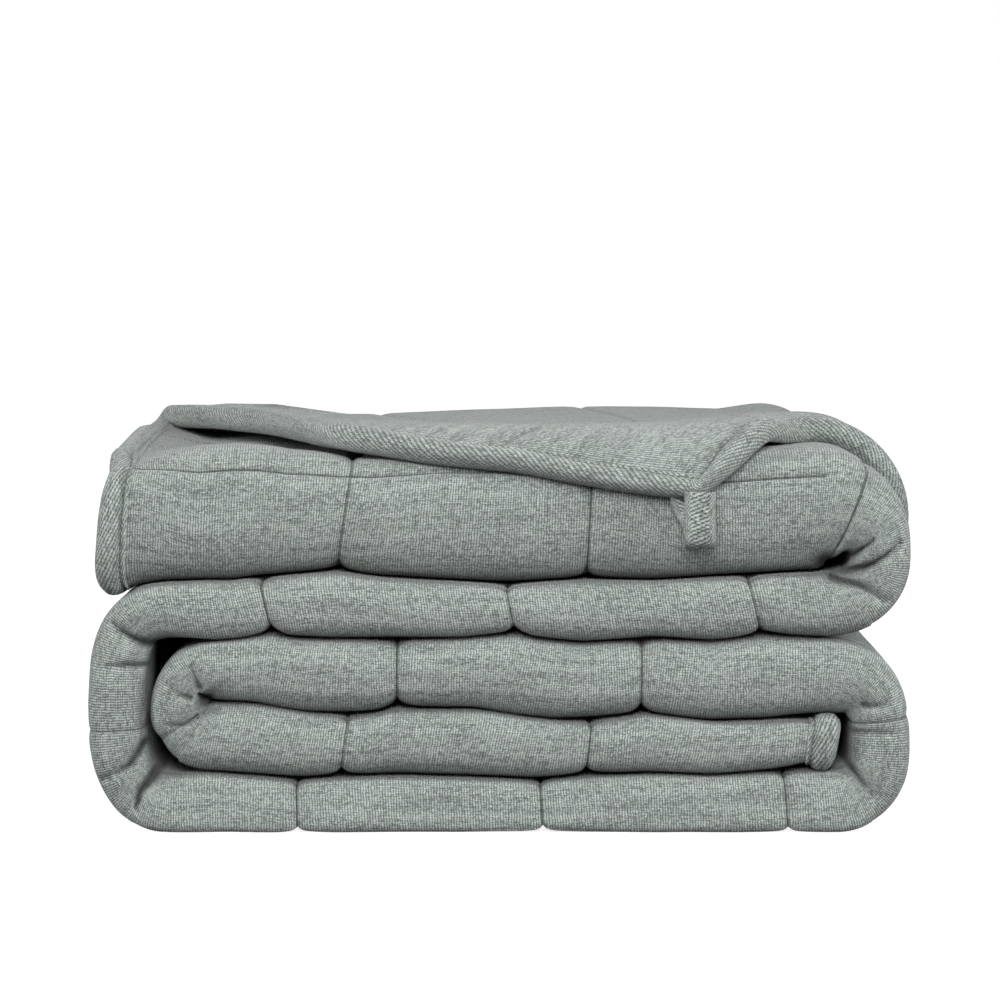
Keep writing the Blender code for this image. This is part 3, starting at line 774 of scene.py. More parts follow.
def sewing(points, across_length):
    """How far the quilting draws a face in."""
    depth = np.zeros(points.shape[:2])
    cross, long = (to_cross_seam, across_length, slack_in_turns), (to_long_seam, from_start, 1.0)
    for away, along, firm in (cross, long):
        wave = np.cos(2 * math.pi * (along / PUCKER_PITCH + 0.45 * noise(points, 0.02, 5)))
        strength = 0.6 + 0.4 * noise(points, 0.03, 6)
        pull = GROOVE * np.exp(-away / GROOVE_REACH) + SHOULDER * np.exp(-away / SHOULDER_REACH)
        pull = pull + NOTCH * at_edges * np.exp(-away / NOTCH_REACH)
        pull = pull + PUCKER * wave * strength * np.exp(-away / PUCKER_REACH)
        depth = np.maximum(depth, pull * firm)
    return depth


def swelling(points, out):
    """Unevenness of the filling, less where a face lies against its neighbour."""
    free = smooth((-out[..., 1] - 0.1) / 0.6)
    uneven = 0.0011 * noise(points, 0.048, 1) + 0.0005 * noise(points, 0.019, 2)
    uneven += 0.0016 * smooth(1.1 - np.abs(up_z)) * noise(points, 0.015, 3)
    return uneven * mix(0.25, 1.0, free)


def measured(points, axis):
    """Lengths along a face, from its first line or row."""
    steps = np.linalg.norm(np.diff(points, axis=axis), axis=-1)
    lengths = np.cumsum(steps, axis=axis)
    return np.concatenate([np.zeros_like(np.take(lengths, [0], axis=axis)), lengths], axis=axis)


across_outer, across_inner = measured(outer, 1), measured(inner, 1)
for face, out, across_length in ((outer, outer_out, across_outer), (inner, inner_out, across_inner)):
    move = (swelling(face, out) - sewing(face, across_length))[..., None] * full
    face += out * move
print("deepest seam", round(float((sewing(outer, across_outer)).max()) * 1000, 2), "mm")

# %% [markdown]
# ## Creases of the bends
#
# Where the strip turns, the front face is gathered into a few folds that run from the turn's hollow
# to its outside. They are given in millimetres along X and Z, as soft troughs in the front.
# Each is listed from the outside of the turn to its hollow, where it gets wider and deeper.

# %% Table of creases
Crease = namedtuple("Crease", "depth width points")
CREASES = (
    Crease(8.0, 5.2, (
        (-190.7, 104.1), (-187.8, 100.7), (-183.4, 97.3), (-177.6, 93.9), (-173.2, 92.0), (-165.9, 92.0))),
    Crease(6.0, 4.0, ((-194.2, 81.5), (-183.0, 81.8), (-171.7, 81.5))),
    Crease(5.0, 3.6, ((-175.6, 87.1), (-168.3, 85.1))),
    Crease(7.0, 4.4, ((-196.1, 25.6), (-188.8, 29.0), (-182.9, 32.9), (-175.6, 43.2))),
    Crease(10.0, 4.8, ((-179.5, 11.5), (-177.6, 19.8), (-170.0, 28.5))),
    Crease(5.0, 3.6, ((-164.0, 27.3), (-161.0, 27.8))),
    Crease(14.0, 5.0, ((-148.2, 67.4), (-145.5, 64.6))),
    Crease(5.5, 3.4, ((-152.2, 81.5), (-150.0, 76.0), (-148.0, 71.0))),
    Crease(4.5, 2.8, ((-164.4, 73.9), (-158.0, 67.6), (-152.2, 65.6))),
    Crease(4.5, 2.8, ((-166.3, 52.4), (-155.1, 52.4), (-149.5, 57.0))),
    Crease(4.5, 2.8, ((-156.1, 40.2), (-147.8, 55.4), (-143.0, 61.7))),
    Crease(7.0, 4.0, ((182.9, 144.1), (180.5, 141.7), (177.1, 138.8), (173.7, 135.9), (170.7, 134.9))),
    Crease(8.0, 4.4, (
        (196.8, 142.7), (193.2, 140.0), (188.8, 136.3), (183.9, 132.9), (179.5, 130.5), (171.7, 128.5),
        (163.9, 128.5))),
    Crease(7.0, 5.0, ((190.2, 113.4), (178.0, 121.2), (163.4, 125.1))),
    Crease(9.0, 8.0, ((170.0, 130.8), (160.5, 132.0))),
    Crease(4.5, 3.2, ((190.2, 63.7), (185.4, 61.2), (179.0, 62.2))),
    Crease(5.0, 3.4, ((192.2, 48.5), (182.0, 48.8), (171.2, 48.5))),
    Crease(7.0, 4.4, ((185.0, 17.0), (178.0, 25.6), (170.2, 34.4))),
)
print(len(CREASES), "creases, the deepest", max(c.depth for c in CREASES), "mm")

# %% [markdown]
# ## Gathering the front
#
# A trough is pushed straight back into the front, narrow at its bottom with a wide soft lip, and fades
# out on the cloth that lies behind. The cloth's back face follows once the trough is deeper than the
# wall of cloth, so that the two never cross. Where a crease is deep, and where two courses are
# pressed together, shade is painted: both are noted for the material, which darkens the yarn there.

# %% Creases
CREASE_SHOWS, CREASE_FADES, WALL = 0.040, 0.018, 0.004


def away_from_line(places, points):
    """Distance from places on the front to a line of points, both as X and Z, and the share of the
    line at which each place is nearest to it."""
    nearest, share_there = np.full(len(places), np.inf), np.zeros(len(places))
    for number, (a, b) in enumerate(zip(points, points[1:])):
        a, b = np.array(a) / 1000, np.array(b) / 1000
        share = np.clip((places - a) @ (b - a) / ((b - a) @ (b - a)), 0, 1)
        away = np.linalg.norm(places - a - share[:, None] * (b - a), axis=1)
        share_there = np.where(away < nearest, (number + share) / (len(points) - 1), share_there)
        nearest = np.minimum(nearest, away)
    return nearest, share_there


in_front = (outer[..., 1] < FRONT_Y + CREASE_SHOWS) & (is_lower | is_nose | is_middle)
front_places = outer[in_front][:, [0, 2]]
trough = np.zeros(len(front_places))
for crease in CREASES:
    away, share = away_from_line(front_places, crease.points)
    away = away * 1000 / (crease.width * mix(0.55, 1.35, share))
    profile = 0.55 * np.exp(-(away / 0.36) ** 2) + 0.45 * np.exp(-away / 1.5)
    trough = np.maximum(trough, crease.depth / 1000 * mix(0.65, 1.15, share) * profile)
fade = 1 - smooth((outer[in_front][:, 1] - FRONT_Y - CREASE_FADES) / (CREASE_SHOWS - CREASE_FADES))
trough *= fade
outer[in_front, 1] += trough
inner[in_front, 1] += np.maximum(0.0, trough - WALL)
# Painted shade: deep creases, and the top and bottom edges of each nose where two courses meet, are marked
# to be darkened.
crease_shade = np.zeros(outer.shape[:2])
crease_shade[in_front] = smooth((trough - 0.0022) / 0.0055)
lying_flat = smooth((np.abs(up_z) - 0.8) / 0.15) * (1 - on_floor) * (1 - line_loose * (nose_lift > 0))
shade_between_courses = smooth((np.abs(nose_lift) - 0.89) / 0.095) * lying_flat * is_nose
for face in (outer, inner):
    face[..., 2] = np.maximum(face[..., 2], 0.0)
print(len(CREASES), "creases over", len(front_places), "points")

# %% [markdown]
# ## The blanket's mesh
#
# The two faces are joined round their hems into one closed cloth. Its UV map is in metres, along and
# across the knit. The flap has its own part of the map, measured from its two hems, so the knit runs
# true to them, and the map is cut at a seam. Two more maps, for the material, carry distances to the
# seams, where a thin dark line of shade is painted, and the depth of the creases and the edges
# between courses, where shade is painted too.

# %% Maps and mesh helpers
LINES, ROWS = outer.shape[:2]
FLAP_SEAM = int(np.argmin(np.abs(along_strip - SEAMS_ACROSS[-3])))
FRONT_OF_NOSE = 27
first_upper = int(np.argmax(is_upper[0]))


def cloth_maps(points):
    """Three maps of a face, side by side: one measured from the front fold, one for the upper
    panels, one measured from the flap's hems."""
    v = measured(points, 1)
    nose_middle = int(np.argmax(is_nose[0])) + FRONT_OF_NOSE
    u = np.broadcast_to(knit_u, v.shape)
    strip = np.stack([u, v - v[:, [nose_middle]]], axis=-1)
    u, v = measured(points, 0), v[:, [-1]] - v
    flap = np.stack([u[[-1]] - u, v], axis=-1)
    strip_upper = np.stack([np.broadcast_to(knit_u, v.shape), 3.0 + v], axis=-1)
    return strip, strip_upper, flap + (0.0, 6.0)


def grid_quads(lines, columns, start, flipped):
    """Quads over a grid of points, numbered line by line."""
    line, column = np.mgrid[0:lines - 1, 0:columns - 1]
    corner = (start + line * columns + column).ravel()
    quads = np.stack([corner, corner + columns, corner + columns + 1, corner + 1], axis=1)
    return quads[:, ::-1] if flipped else quads


def hem_walk(lines, columns):
    """Grid places once round the hems."""
    walk = [(line, 0) for line in range(lines - 1)]
    walk += [(lines - 1, column) for column in range(columns - 1)]
    walk += [(line, columns - 1) for line in range(lines - 1, 0, -1)]
    return walk + [(0, column) for column in range(columns - 1, 0, -1)]


def mesh_piece(name, points, faces, **maps):
    """A smooth mesh object at the origin, with named UV maps: a UV for every corner of its faces."""
    mesh = bpy.data.meshes.new(name)
    mesh.from_pydata(points, [], [tuple(face) for face in faces])
    for map_name, uvs in maps.items():
        layer = mesh.uv_layers.new(name=map_name)
        layer.data.foreach_set("uv", np.asarray(uvs, dtype=np.float32).ravel())
    mesh.shade_smooth()
    piece = bpy.data.objects.new(name, mesh)
    bpy.context.scene.collection.objects.link(piece)
    return piece


print(LINES, "lines by", ROWS, "rows, the flap's map starts at line", FLAP_SEAM)

# %% [markdown]
# ## Joining the two faces
#
# Each face is a grid of quads, one of them turned over so that both look outwards, and a rim of quads
# closes them all round the hems. A quad takes its map by the panel it lies in.

# %% Blanket
outer_quads = grid_quads(LINES, ROWS, 0, True)
inner_quads = grid_quads(LINES, ROWS, LINES * ROWS, False)
walk = [line * ROWS + row for line, row in hem_walk(LINES, ROWS)]
ends = walk[1:] + walk[:1]
edge_quads = np.array([(a, b, b + LINES * ROWS, a + LINES * ROWS) for a, b in zip(walk, ends)])
quads = np.concatenate([outer_quads, inner_quads, edge_quads])
all_points = np.concatenate([outer.reshape(-1, 3), inner.reshape(-1, 3)])

maps = [np.concatenate(pair, axis=0).reshape(-1, 2) for pair in zip(
    *(tuple(m.reshape(-1, 2) for m in cloth_maps(face)) for face in (outer, inner)))]
line_of, row_of = np.divmod(quads % (LINES * ROWS), ROWS)
in_upper = row_of.min(axis=1) >= first_upper
in_flap = in_upper & (line_of.min(axis=1) >= FLAP_SEAM)
which = in_upper.astype(int) + in_flap
corner_uvs = np.stack(maps)[which[:, None], quads]

sewn = np.stack([
    np.broadcast_to(to_cross_seam, (LINES, ROWS)), np.broadcast_to(to_long_seam, (LINES, ROWS))], axis=-1)
sewn = np.tile(np.minimum(sewn, 0.02).reshape(-1, 2), (2, 1))
# The creases map carries the painted shade of the creases and of the gaps between courses.
painted_shade = np.stack([crease_shade, np.broadcast_to(shade_between_courses, (LINES, ROWS))], axis=-1).reshape(-1, 2)
painted_shade = np.concatenate([painted_shade, np.zeros_like(painted_shade)])
blanket = mesh_piece(
    "quilted_panel", all_points, quads, cloth=corner_uvs, sewing=sewn[quads], creases=painted_shade[quads])
print(len(quads) * 2, "triangles before thinning")

# %% [markdown]
# ## Thin what the folds hide
#
# Most of a folded blanket can't be seen. The front, the flap and the top keep every point; hems and
# sides are thinned only a little; the rest is thinned hard. A Decimate modifier does it, steered by a
# vertex group, and takes flat places first.

# %% Thin what the folds hide
SEEN_DEPTH, SIDES_FROM, HEM_NEAR = 0.026, 0.150, 0.016
TRIANGLES_WANTED = 190000
THIN_A_LITTLE, THIN_HARD = 0.02, 1.0
panel_of = np.tile(np.broadcast_to(row_panel, (LINES, ROWS)).ravel(), 2)
on_inner = np.repeat([False, True], LINES * ROWS)
top_of = np.tile(np.repeat(from_left_end[:, 0] < TOP_RUN + 0.05, ROWS), 2)
flap_seen = (panel_of == UPPER) & on_inner & top_of
crest_seen = (panel_of == MIDDLE) & ~on_inner & top_of
front_seen = (all_points[:, 1] < FRONT_Y + SEEN_DEPTH) & ~on_inner & (panel_of != UPPER)
near_hem = np.tile((np.minimum(from_ends, from_side) < HEM_NEAR).ravel(), 2)
outside = np.where(on_inner, (panel_of == UPPER) | (panel_of == BACK), panel_of == LOWER)
sides_seen = outside & (np.abs(all_points[:, 0]) > SIDES_FROM)
kept = flap_seen | crest_seen | front_seen
hidden = blanket.vertex_groups.new(name="hidden")
little = ~kept & (near_hem | sides_seen)
hard = ~kept & ~near_hem & ~sides_seen
for weight, chosen in ((THIN_A_LITTLE, little), (THIN_HARD, hard)):
    hidden.add([int(number) for number in np.flatnonzero(chosen)], weight, "REPLACE")
thinned = blanket.modifiers.new("thinned", "DECIMATE")
thinned.ratio = TRIANGLES_WANTED / (2 * len(blanket.data.polygons))
thinned.vertex_group = hidden.name
bpy.context.view_layer.objects.active = blanket
blanket.select_set(True)
bpy.ops.object.modifier_apply(modifier=thinned.name)
blanket.vertex_groups.clear()
blanket.data.calc_loop_triangles()
print(len(blanket.data.loop_triangles), "triangles;", int(kept.sum()), "of", len(kept), "points kept")

# %% [markdown]
# ## The binding
#
# A strip of knit cut on the bias is folded over the raw edge and sewn through. It is one ring of
# sections that follow the blanket's two faces, mitred at the corners: full over the edge, pressed
# down along the stitches. A curve with a bevel would be quicker, but it couldn't hug both faces. The
# profile gives, for each inset of the grid from the hem, how far the tape rises from the cloth.

# %% Sections round the hems
BindingPoint = namedtuple("BindingPoint", "inset rise")
BINDING_PROFILE = (
    BindingPoint(7, 0.0002), BindingPoint(6, 0.0016), BindingPoint(5, 0.0003), BindingPoint(4, 0.0030),
    BindingPoint(3, 0.0039), BindingPoint(2, 0.0041), BindingPoint(1, 0.0036), BindingPoint(0, 0.0024),
)
BINDING_OUT, BINDING_INSIDE, TAPE = 0.0020, 0.0002, 0.0016
OVER_EDGE = ((0.85, 0.62), (0.45, 0.92), (0.0, 1.0), (-0.45, 0.92), (-0.85, 0.62))
ROPE, ROPE_DEPTH = 0.75, 0.190
DEEPEST = len(HEM_INSETS) - 1


def hem_sections(lines, columns):
    """The rim as runs of grid places, each run one inset in from the hem, mitred at the corners."""
    far, wide, deep = lines - 1, columns - 1, DEEPEST
    runs = [[(k, k) for k in range(deep + 1)]]
    runs += [[(line, k) for k in range(deep + 1)] for line in range(deep, far - deep + 1)]
    runs += [[(far - k, k) for k in range(deep + 1)]]
    runs += [[(far - k, column) for k in range(deep + 1)] for column in range(deep, wide - deep + 1)]
    runs += [[(far - k, wide - k) for k in range(deep + 1)]]
    runs += [[(line, wide - k) for k in range(deep + 1)] for line in range(far - deep, deep - 1, -1)]
    runs += [[(k, wide - k) for k in range(deep + 1)]]
    runs += [[(k, column) for k in range(deep + 1)] for column in range(wide - deep, deep - 1, -1)]
    return np.array(runs)


sections = hem_sections(LINES, ROWS)
outer_out, inner_out = -looking(outer), looking(inner)
at_outer = outer[sections[..., 0], sections[..., 1]]
at_inner = inner[sections[..., 0], sections[..., 1]]
out_outer = outer_out[sections[..., 0], sections[..., 1]]
out_inner = inner_out[sections[..., 0], sections[..., 1]]
edge_middle = (at_outer[:, 0] + at_inner[:, 0]) / 2
edge_out = edge_middle - (at_outer[:, 1] + at_inner[:, 1]) / 2
edge_out /= np.linalg.norm(edge_out, axis=-1, keepdims=True)
edge_up = at_outer[:, 0] - edge_middle
edge_up /= np.linalg.norm(edge_up, axis=-1, keepdims=True)

print(len(sections), "sections of", DEEPEST + 1, "points")

# %% [markdown]
# ## Folding the tape over
#
# Round each section the tape runs out along the outer face, over the edge as half a round, and back
# along the inner face, with a few points lying close under it to close it. At the left end of the top
# course it is fuller, as the real one bunches there into a rope.

# %% Binding
first_line, first_row = sections[:, 0, 0], sections[:, 0, 1]
at_end = (first_line == LINES - 1) & (row_panel[0, first_row] == MIDDLE)
at_end = at_end & (at_outer[:, 0, 1] < FRONT_Y + ROPE_DEPTH)
roped = (1 + ROPE * softened(at_end.astype(float), 10))[:, None]

columns = []
for inset, rise in BINDING_PROFILE:
    columns.append(at_outer[:, inset] + out_outer[:, inset] * rise * roped)
tongue_here = np.linalg.norm(at_outer[:, 0] - edge_middle, axis=-1, keepdims=True)
for across_share, out_share in OVER_EDGE:
    over_edge = edge_middle + edge_up * (tongue_here + TAPE) * across_share
    columns.append(over_edge + edge_out * BINDING_OUT * out_share)
for inset, rise in BINDING_PROFILE[::-1]:
    columns.append(at_inner[:, inset] + out_inner[:, inset] * rise)
for side, out, insets in ((at_inner, out_inner, (7, 3, 0)), (at_outer, out_outer, (0, 3, 7))):
    for inset in insets:
        columns.append(side[:, inset] + out[:, inset] * BINDING_INSIDE)
binding_points = np.stack(columns, axis=1)
binding_points[..., 2] = np.maximum(binding_points[..., 2], 0.0)
count, around = binding_points.shape[:2]

rim_middle = binding_points[:, len(BINDING_PROFILE) + 2]
rim_steps = np.linalg.norm(np.roll(rim_middle, -1, axis=0) - rim_middle, axis=-1)
rim_length = np.concatenate([[0], np.cumsum(rim_steps)])
v_steps = np.linalg.norm(np.diff(binding_points[len(binding_points) // 3], axis=0), axis=-1)
ring_v = np.concatenate([[0], np.cumsum(v_steps)])
section, corner = np.mgrid[0:count, 0:around]
quads, uvs = [], []
for turn_section, turn_corner in ((0, 0), (1, 0), (1, 1), (0, 1)):
    quads.append((section + turn_section) % count * around + (corner + turn_corner) % around)
    along, across = rim_length[section + turn_section], ring_v[(corner + turn_corner) % around]
    uvs.append(np.stack([along, across], axis=-1))
quads = np.stack([q.ravel() for q in quads], axis=1)
uvs = np.stack([uv.reshape(-1, 2) for uv in uvs], axis=1)
binding = mesh_piece("edge_binding", binding_points.reshape(-1, 3), quads, cloth=uvs)
print(count, "sections,", round(rim_length[-1], 2), "m of binding,", len(quads) * 2, "triangles")

# %% [markdown]
# ## Stitches
#
# The binding is held by a row of stitches through all its layers. Each stitch is a short bead of
# thread lying in the groove that it presses, on both sides of the hem.

# %% Beads of thread
STITCH_PITCH, STITCH_HALF, THREAD = 0.0033, 0.0011, 0.00048
BeadRing = namedtuple("BeadRing", "along radius")
BEAD = (BeadRing(-1.0, 0.35), BeadRing(-0.45, 1.0), BeadRing(0.45, 1.0), BeadRing(1.0, 0.35))
BEAD_ROUND = 5


def stitches_along(line, out):
    """Beads along a closed line, as points and faces. Out is the way the cloth looks there."""
    closed = np.concatenate([line, line[:1]])
    length = np.concatenate([[0], np.cumsum(np.linalg.norm(np.diff(closed, axis=0), axis=1))])
    places = np.arange(STITCH_PITCH, length[-1] - STITCH_PITCH, STITCH_PITCH)
    outward = np.concatenate([out, out[:1]])

    def at(place, values):
        """A place or a direction of the closed line, by its length."""
        return np.stack([np.interp(place, length, values[:, axis]) for axis in range(3)], axis=-1)

    ahead = at(places + STITCH_HALF, closed) - at(places - STITCH_HALF, closed)
    ahead /= np.linalg.norm(ahead, axis=1, keepdims=True)
    up = at(places, outward)
    up -= ahead * (up * ahead).sum(axis=1, keepdims=True)
    up /= np.linalg.norm(up, axis=1, keepdims=True)
    aside = np.cross(ahead, up)
    rings = []
    for ring in BEAD:
        for turn in np.arange(BEAD_ROUND) * 2 * math.pi / BEAD_ROUND:
            off = up * math.sin(turn) + aside * math.cos(turn)
            rings.append(at(places, closed) + up * THREAD * 0.5 + ahead * ring.along * STITCH_HALF
                         + off * THREAD * ring.radius)
    points = np.stack(rings, axis=1).reshape(-1, 3)
    size = len(BEAD) * BEAD_ROUND
    faces = []
    for first in range(0, len(points), size):
        for ring in range(len(BEAD) - 1):
            low = first + ring * BEAD_ROUND
            for k in range(BEAD_ROUND):
                after = (k + 1) % BEAD_ROUND
                faces.append((low + k, low + after, low + BEAD_ROUND + after, low + BEAD_ROUND + k))
        faces.append(tuple(first + k for k in range(BEAD_ROUND))[::-1])
        faces.append(tuple(first + size - BEAD_ROUND + k for k in range(BEAD_ROUND)))
    return points, faces


print("a bead has", (2 * len(BEAD) - 2) * BEAD_ROUND + 2 * (BEAD_ROUND - 2), "triangles")

# %% [markdown]
# ## Sewing the binding down
#
# The needle goes through all the layers at once, so the outer and the inner side have the same row.
# Both rows are one mesh, because they are one thread.

# %% Stitches
GROOVE_INSET = 5
groove = [inset for inset, rise in BINDING_PROFILE].index(GROOVE_INSET)
inner_groove = 2 * len(BINDING_PROFILE) + len(OVER_EDGE) - 1 - groove
bead_points, bead_faces = [], []
for column, out in ((groove, out_outer), (inner_groove, out_inner)):
    points, faces = stitches_along(binding_points[:, column], out[:, GROOVE_INSET])
    start = sum(len(part) for part in bead_points)
    bead_points.append(points)
    bead_faces += [tuple(start + corner for corner in face) for face in faces]
stitches = mesh_piece("binding_stitches", np.concatenate(bead_points), bead_faces)
stitches.data.calc_loop_triangles()
print(len(bead_points[0]) // (len(BEAD) * BEAD_ROUND), "stitches a side,",
      len(stitches.data.loop_triangles), "triangles")

# %% [markdown]
# ## The corner loop
#
# A short tape is bent into an upright oval at the flap's corner. It is lofted round the oval with
# rounded edges, and its ends are taken as sewn in behind the binding. The strand behind twists and
# leans out to the left as it rises, so that the loop shows its opening from in front.

# %% Loop
LOOP_TOP, LOOP_BOTTOM = 0.1690, 0.1418
LOOP_WIDTH, LOOP_TAPE = 0.0150, 0.0020
LOOP_FRONT_Y, LOOP_BACK_Y = -0.2420, -0.2310
LOOP_TWIST = math.radians(26)
LOOP_FRONT_X, LOOP_BACK_X = 0.0970, 0.0900
LOOP_BOW = 0.0022
TAPE_SQUARENESS, TAPE_FLATNESS = 0.35, 0.7
LOOP_STEPS = 72
loop_section = [(math.cos(a), math.sin(a)) for a in np.linspace(0, 2 * math.pi, 25)[:-1]]

loop_radius = (LOOP_BACK_Y - LOOP_FRONT_Y) / 2
loop_middle = (LOOP_BACK_Y + LOOP_FRONT_Y) / 2
strand = LOOP_TOP - LOOP_BOTTOM - loop_radius
loop_length = 2 * strand + math.pi * loop_radius
loop_points, loop_quads, loop_uvs = [], [], []
for step in range(LOOP_STEPS + 1):
    run = loop_length * step / LOOP_STEPS
    angle = min(max((run - strand) / loop_radius, 0.0), math.pi)
    beyond = run - strand - math.pi * loop_radius if run > strand + math.pi * loop_radius else 0.0
    z = LOOP_TOP - min(run, strand) - loop_radius * math.sin(angle) + beyond
    y = loop_middle - loop_radius * math.cos(angle) + LOOP_BOW * math.sin(math.pi * beyond / strand)
    out = Vector((0.0, -math.cos(angle), -math.sin(angle)))
    opening = smooth(beyond / (0.8 * strand))
    x = mix(LOOP_FRONT_X, LOOP_BACK_X, opening)
    twist = LOOP_TWIST * opening
    sideways = Vector((math.cos(twist), math.sin(twist), 0.0))
    for across, thick in loop_section:
        wide = math.copysign(abs(across) ** TAPE_SQUARENESS, across) * LOOP_WIDTH / 2
        deep = math.copysign(abs(thick) ** TAPE_FLATNESS, thick) * LOOP_TAPE / 2
        loop_points.append(Vector((x, y, z)) + sideways * wide + out * deep)
loop_round = len(loop_section)
for step in range(LOOP_STEPS):
    for corner in range(loop_round):
        face = [(step, corner), (step + 1, corner), (step + 1, corner + 1), (step, corner + 1)]
        loop_quads.append([s * loop_round + c % loop_round for s, c in face])
        for s, c in face:
            aside = loop_section[c % loop_round][0] * LOOP_WIDTH / 2
            loop_uvs.append((s / LOOP_STEPS * loop_length, aside))
for start in (0, LOOP_STEPS * loop_round):
    cap = [start + corner for corner in range(loop_round)]
    loop_quads.append(cap if start == 0 else cap[::-1])
    loop_uvs += [(0.0, 0.0)] * loop_round
loop = mesh_piece("loop_of_tape", loop_points, loop_quads, cloth=loop_uvs)
print(len(loop_quads) * 2, "triangles in the loop")

# %% [markdown]
# ## A short way to write nodes
#
# A material is a tree of nodes. It could be put together by hand in the shader editor; in code each
# node is made, given its settings and linked. This small class does that, so that the materials below
# read like the sums that they are.

# %% Nodes
class Nodes:
    """A material's node tree, with short ways to add to it."""

    def __init__(self, name):
        self.material = bpy.data.materials.new(name)
        self.material.use_nodes = True
        self.tree = self.material.node_tree
        self.tree.nodes.clear()

    def add(self, kind, settings=None, **inputs):
        """A node of a kind, with its settings and what goes into it."""
        node = self.tree.nodes.new("ShaderNode" + kind)
        for name, value in (settings or {}).items():
            setattr(node, name, value)
        for name, value in inputs.items():
            self.feed(node.inputs[name.replace("_", " ")], value)
        return node

    def feed(self, socket, value):
        """Links a socket, or sets it to a constant."""
        if isinstance(value, bpy.types.NodeSocket):
            self.tree.links.new(value, socket)
        else:
            socket.default_value = value

    def maths(self, operation, *values):
        node = self.tree.nodes.new("ShaderNodeMath")
        node.operation = operation
        for socket, value in zip(node.inputs, values):
            self.feed(socket, value)
        return node.outputs[0]

    def plus(self, first, last):
        return self.maths("ADD", first, last)

    def minus(self, first, last):
        return self.maths("SUBTRACT", first, last)

    def times(self, first, last):
        return self.maths("MULTIPLY", first, last)

    def over(self, first, last):
        return self.maths("DIVIDE", first, last)

    def from_middle(self, value):
        """How far a value is from the middle between two whole numbers."""
        return self.maths("ABSOLUTE", self.minus(self.maths("FRACT", value), 0.5))

    def wave(self, away):
        """One in the middle, minus one at both sides."""
        return self.maths("COSINE", self.times(away, 2 * math.pi))

    def drawn_out(self, place, lumps, detail, roughness):
        """Noise with so many lumps a metre each way."""
        scaled = self.add("VectorMath", {"operation": "MULTIPLY"})
        self.feed(scaled.inputs[0], place)
        scaled.inputs[1].default_value = lumps
        lumpy = self.add("TexNoise", Vector=scaled.outputs[0], Scale=1.0)
        lumpy.inputs["Detail"].default_value = detail
        lumpy.inputs["Roughness"].default_value = roughness
        return lumpy.outputs[0]

    def blend(self, share, first, last):
        """One colour or the other by share."""
        node = self.tree.nodes.new("ShaderNodeMix")
        node.data_type = "RGBA"
        self.feed(node.inputs["Factor"], share)
        self.feed(node.inputs["A"], first)
        self.feed(node.inputs["B"], last)
        return node.outputs["Result"]

    def between(self, value, low, high, new_low=0.0, new_high=1.0):
        """A smooth step from one value to another."""
        node = self.add("MapRange", {"interpolation_type": "SMOOTHSTEP"}, Value=value)
        ends = (("From Min", low), ("From Max", high), ("To Min", new_low), ("To Max", new_high))
        for name, number in ends:
            node.inputs[name].default_value = number
        return node.outputs[0]


print("short ways:", [name for name in vars(Nodes) if not name.startswith("_")])

# %% [markdown]
# ## Cloth materials
#
# Every cloth here is the same heather yarn, so one builder makes all three. It reads the cloth's own
# UV map in metres. Wales run along v: a light ridge for each, with painted shade in the pits between,
# and the loops of the stitches across them. The yarn itself is light and dark fibre, so each stitch has
# its own tone and short streaks run along the rows. Bump follows the same pattern, and sheen gives the
# fuzzy edge. An image of cloth would repeat and blur; nodes stay sharp at any distance.

# %% Heather knit
LIGHT_YARN, DARK_YARN = (0.498, 0.548, 0.521, 1.0), (0.155, 0.176, 0.166, 1.0)
PIT_SHADE, DEEP_SHADE = (0.045, 0.052, 0.047, 1.0), (0.012, 0.014, 0.013, 1.0)
WALE, BIAS_WALE, TAPE_WALE = 0.00135, 0.0018, 0.0014
WOBBLES, GRAINS = 300.0, 1500.0
STREAKS, CLOUDS = (240.0, 1150.0, 1.0), (20.0, 240.0, 1.0)


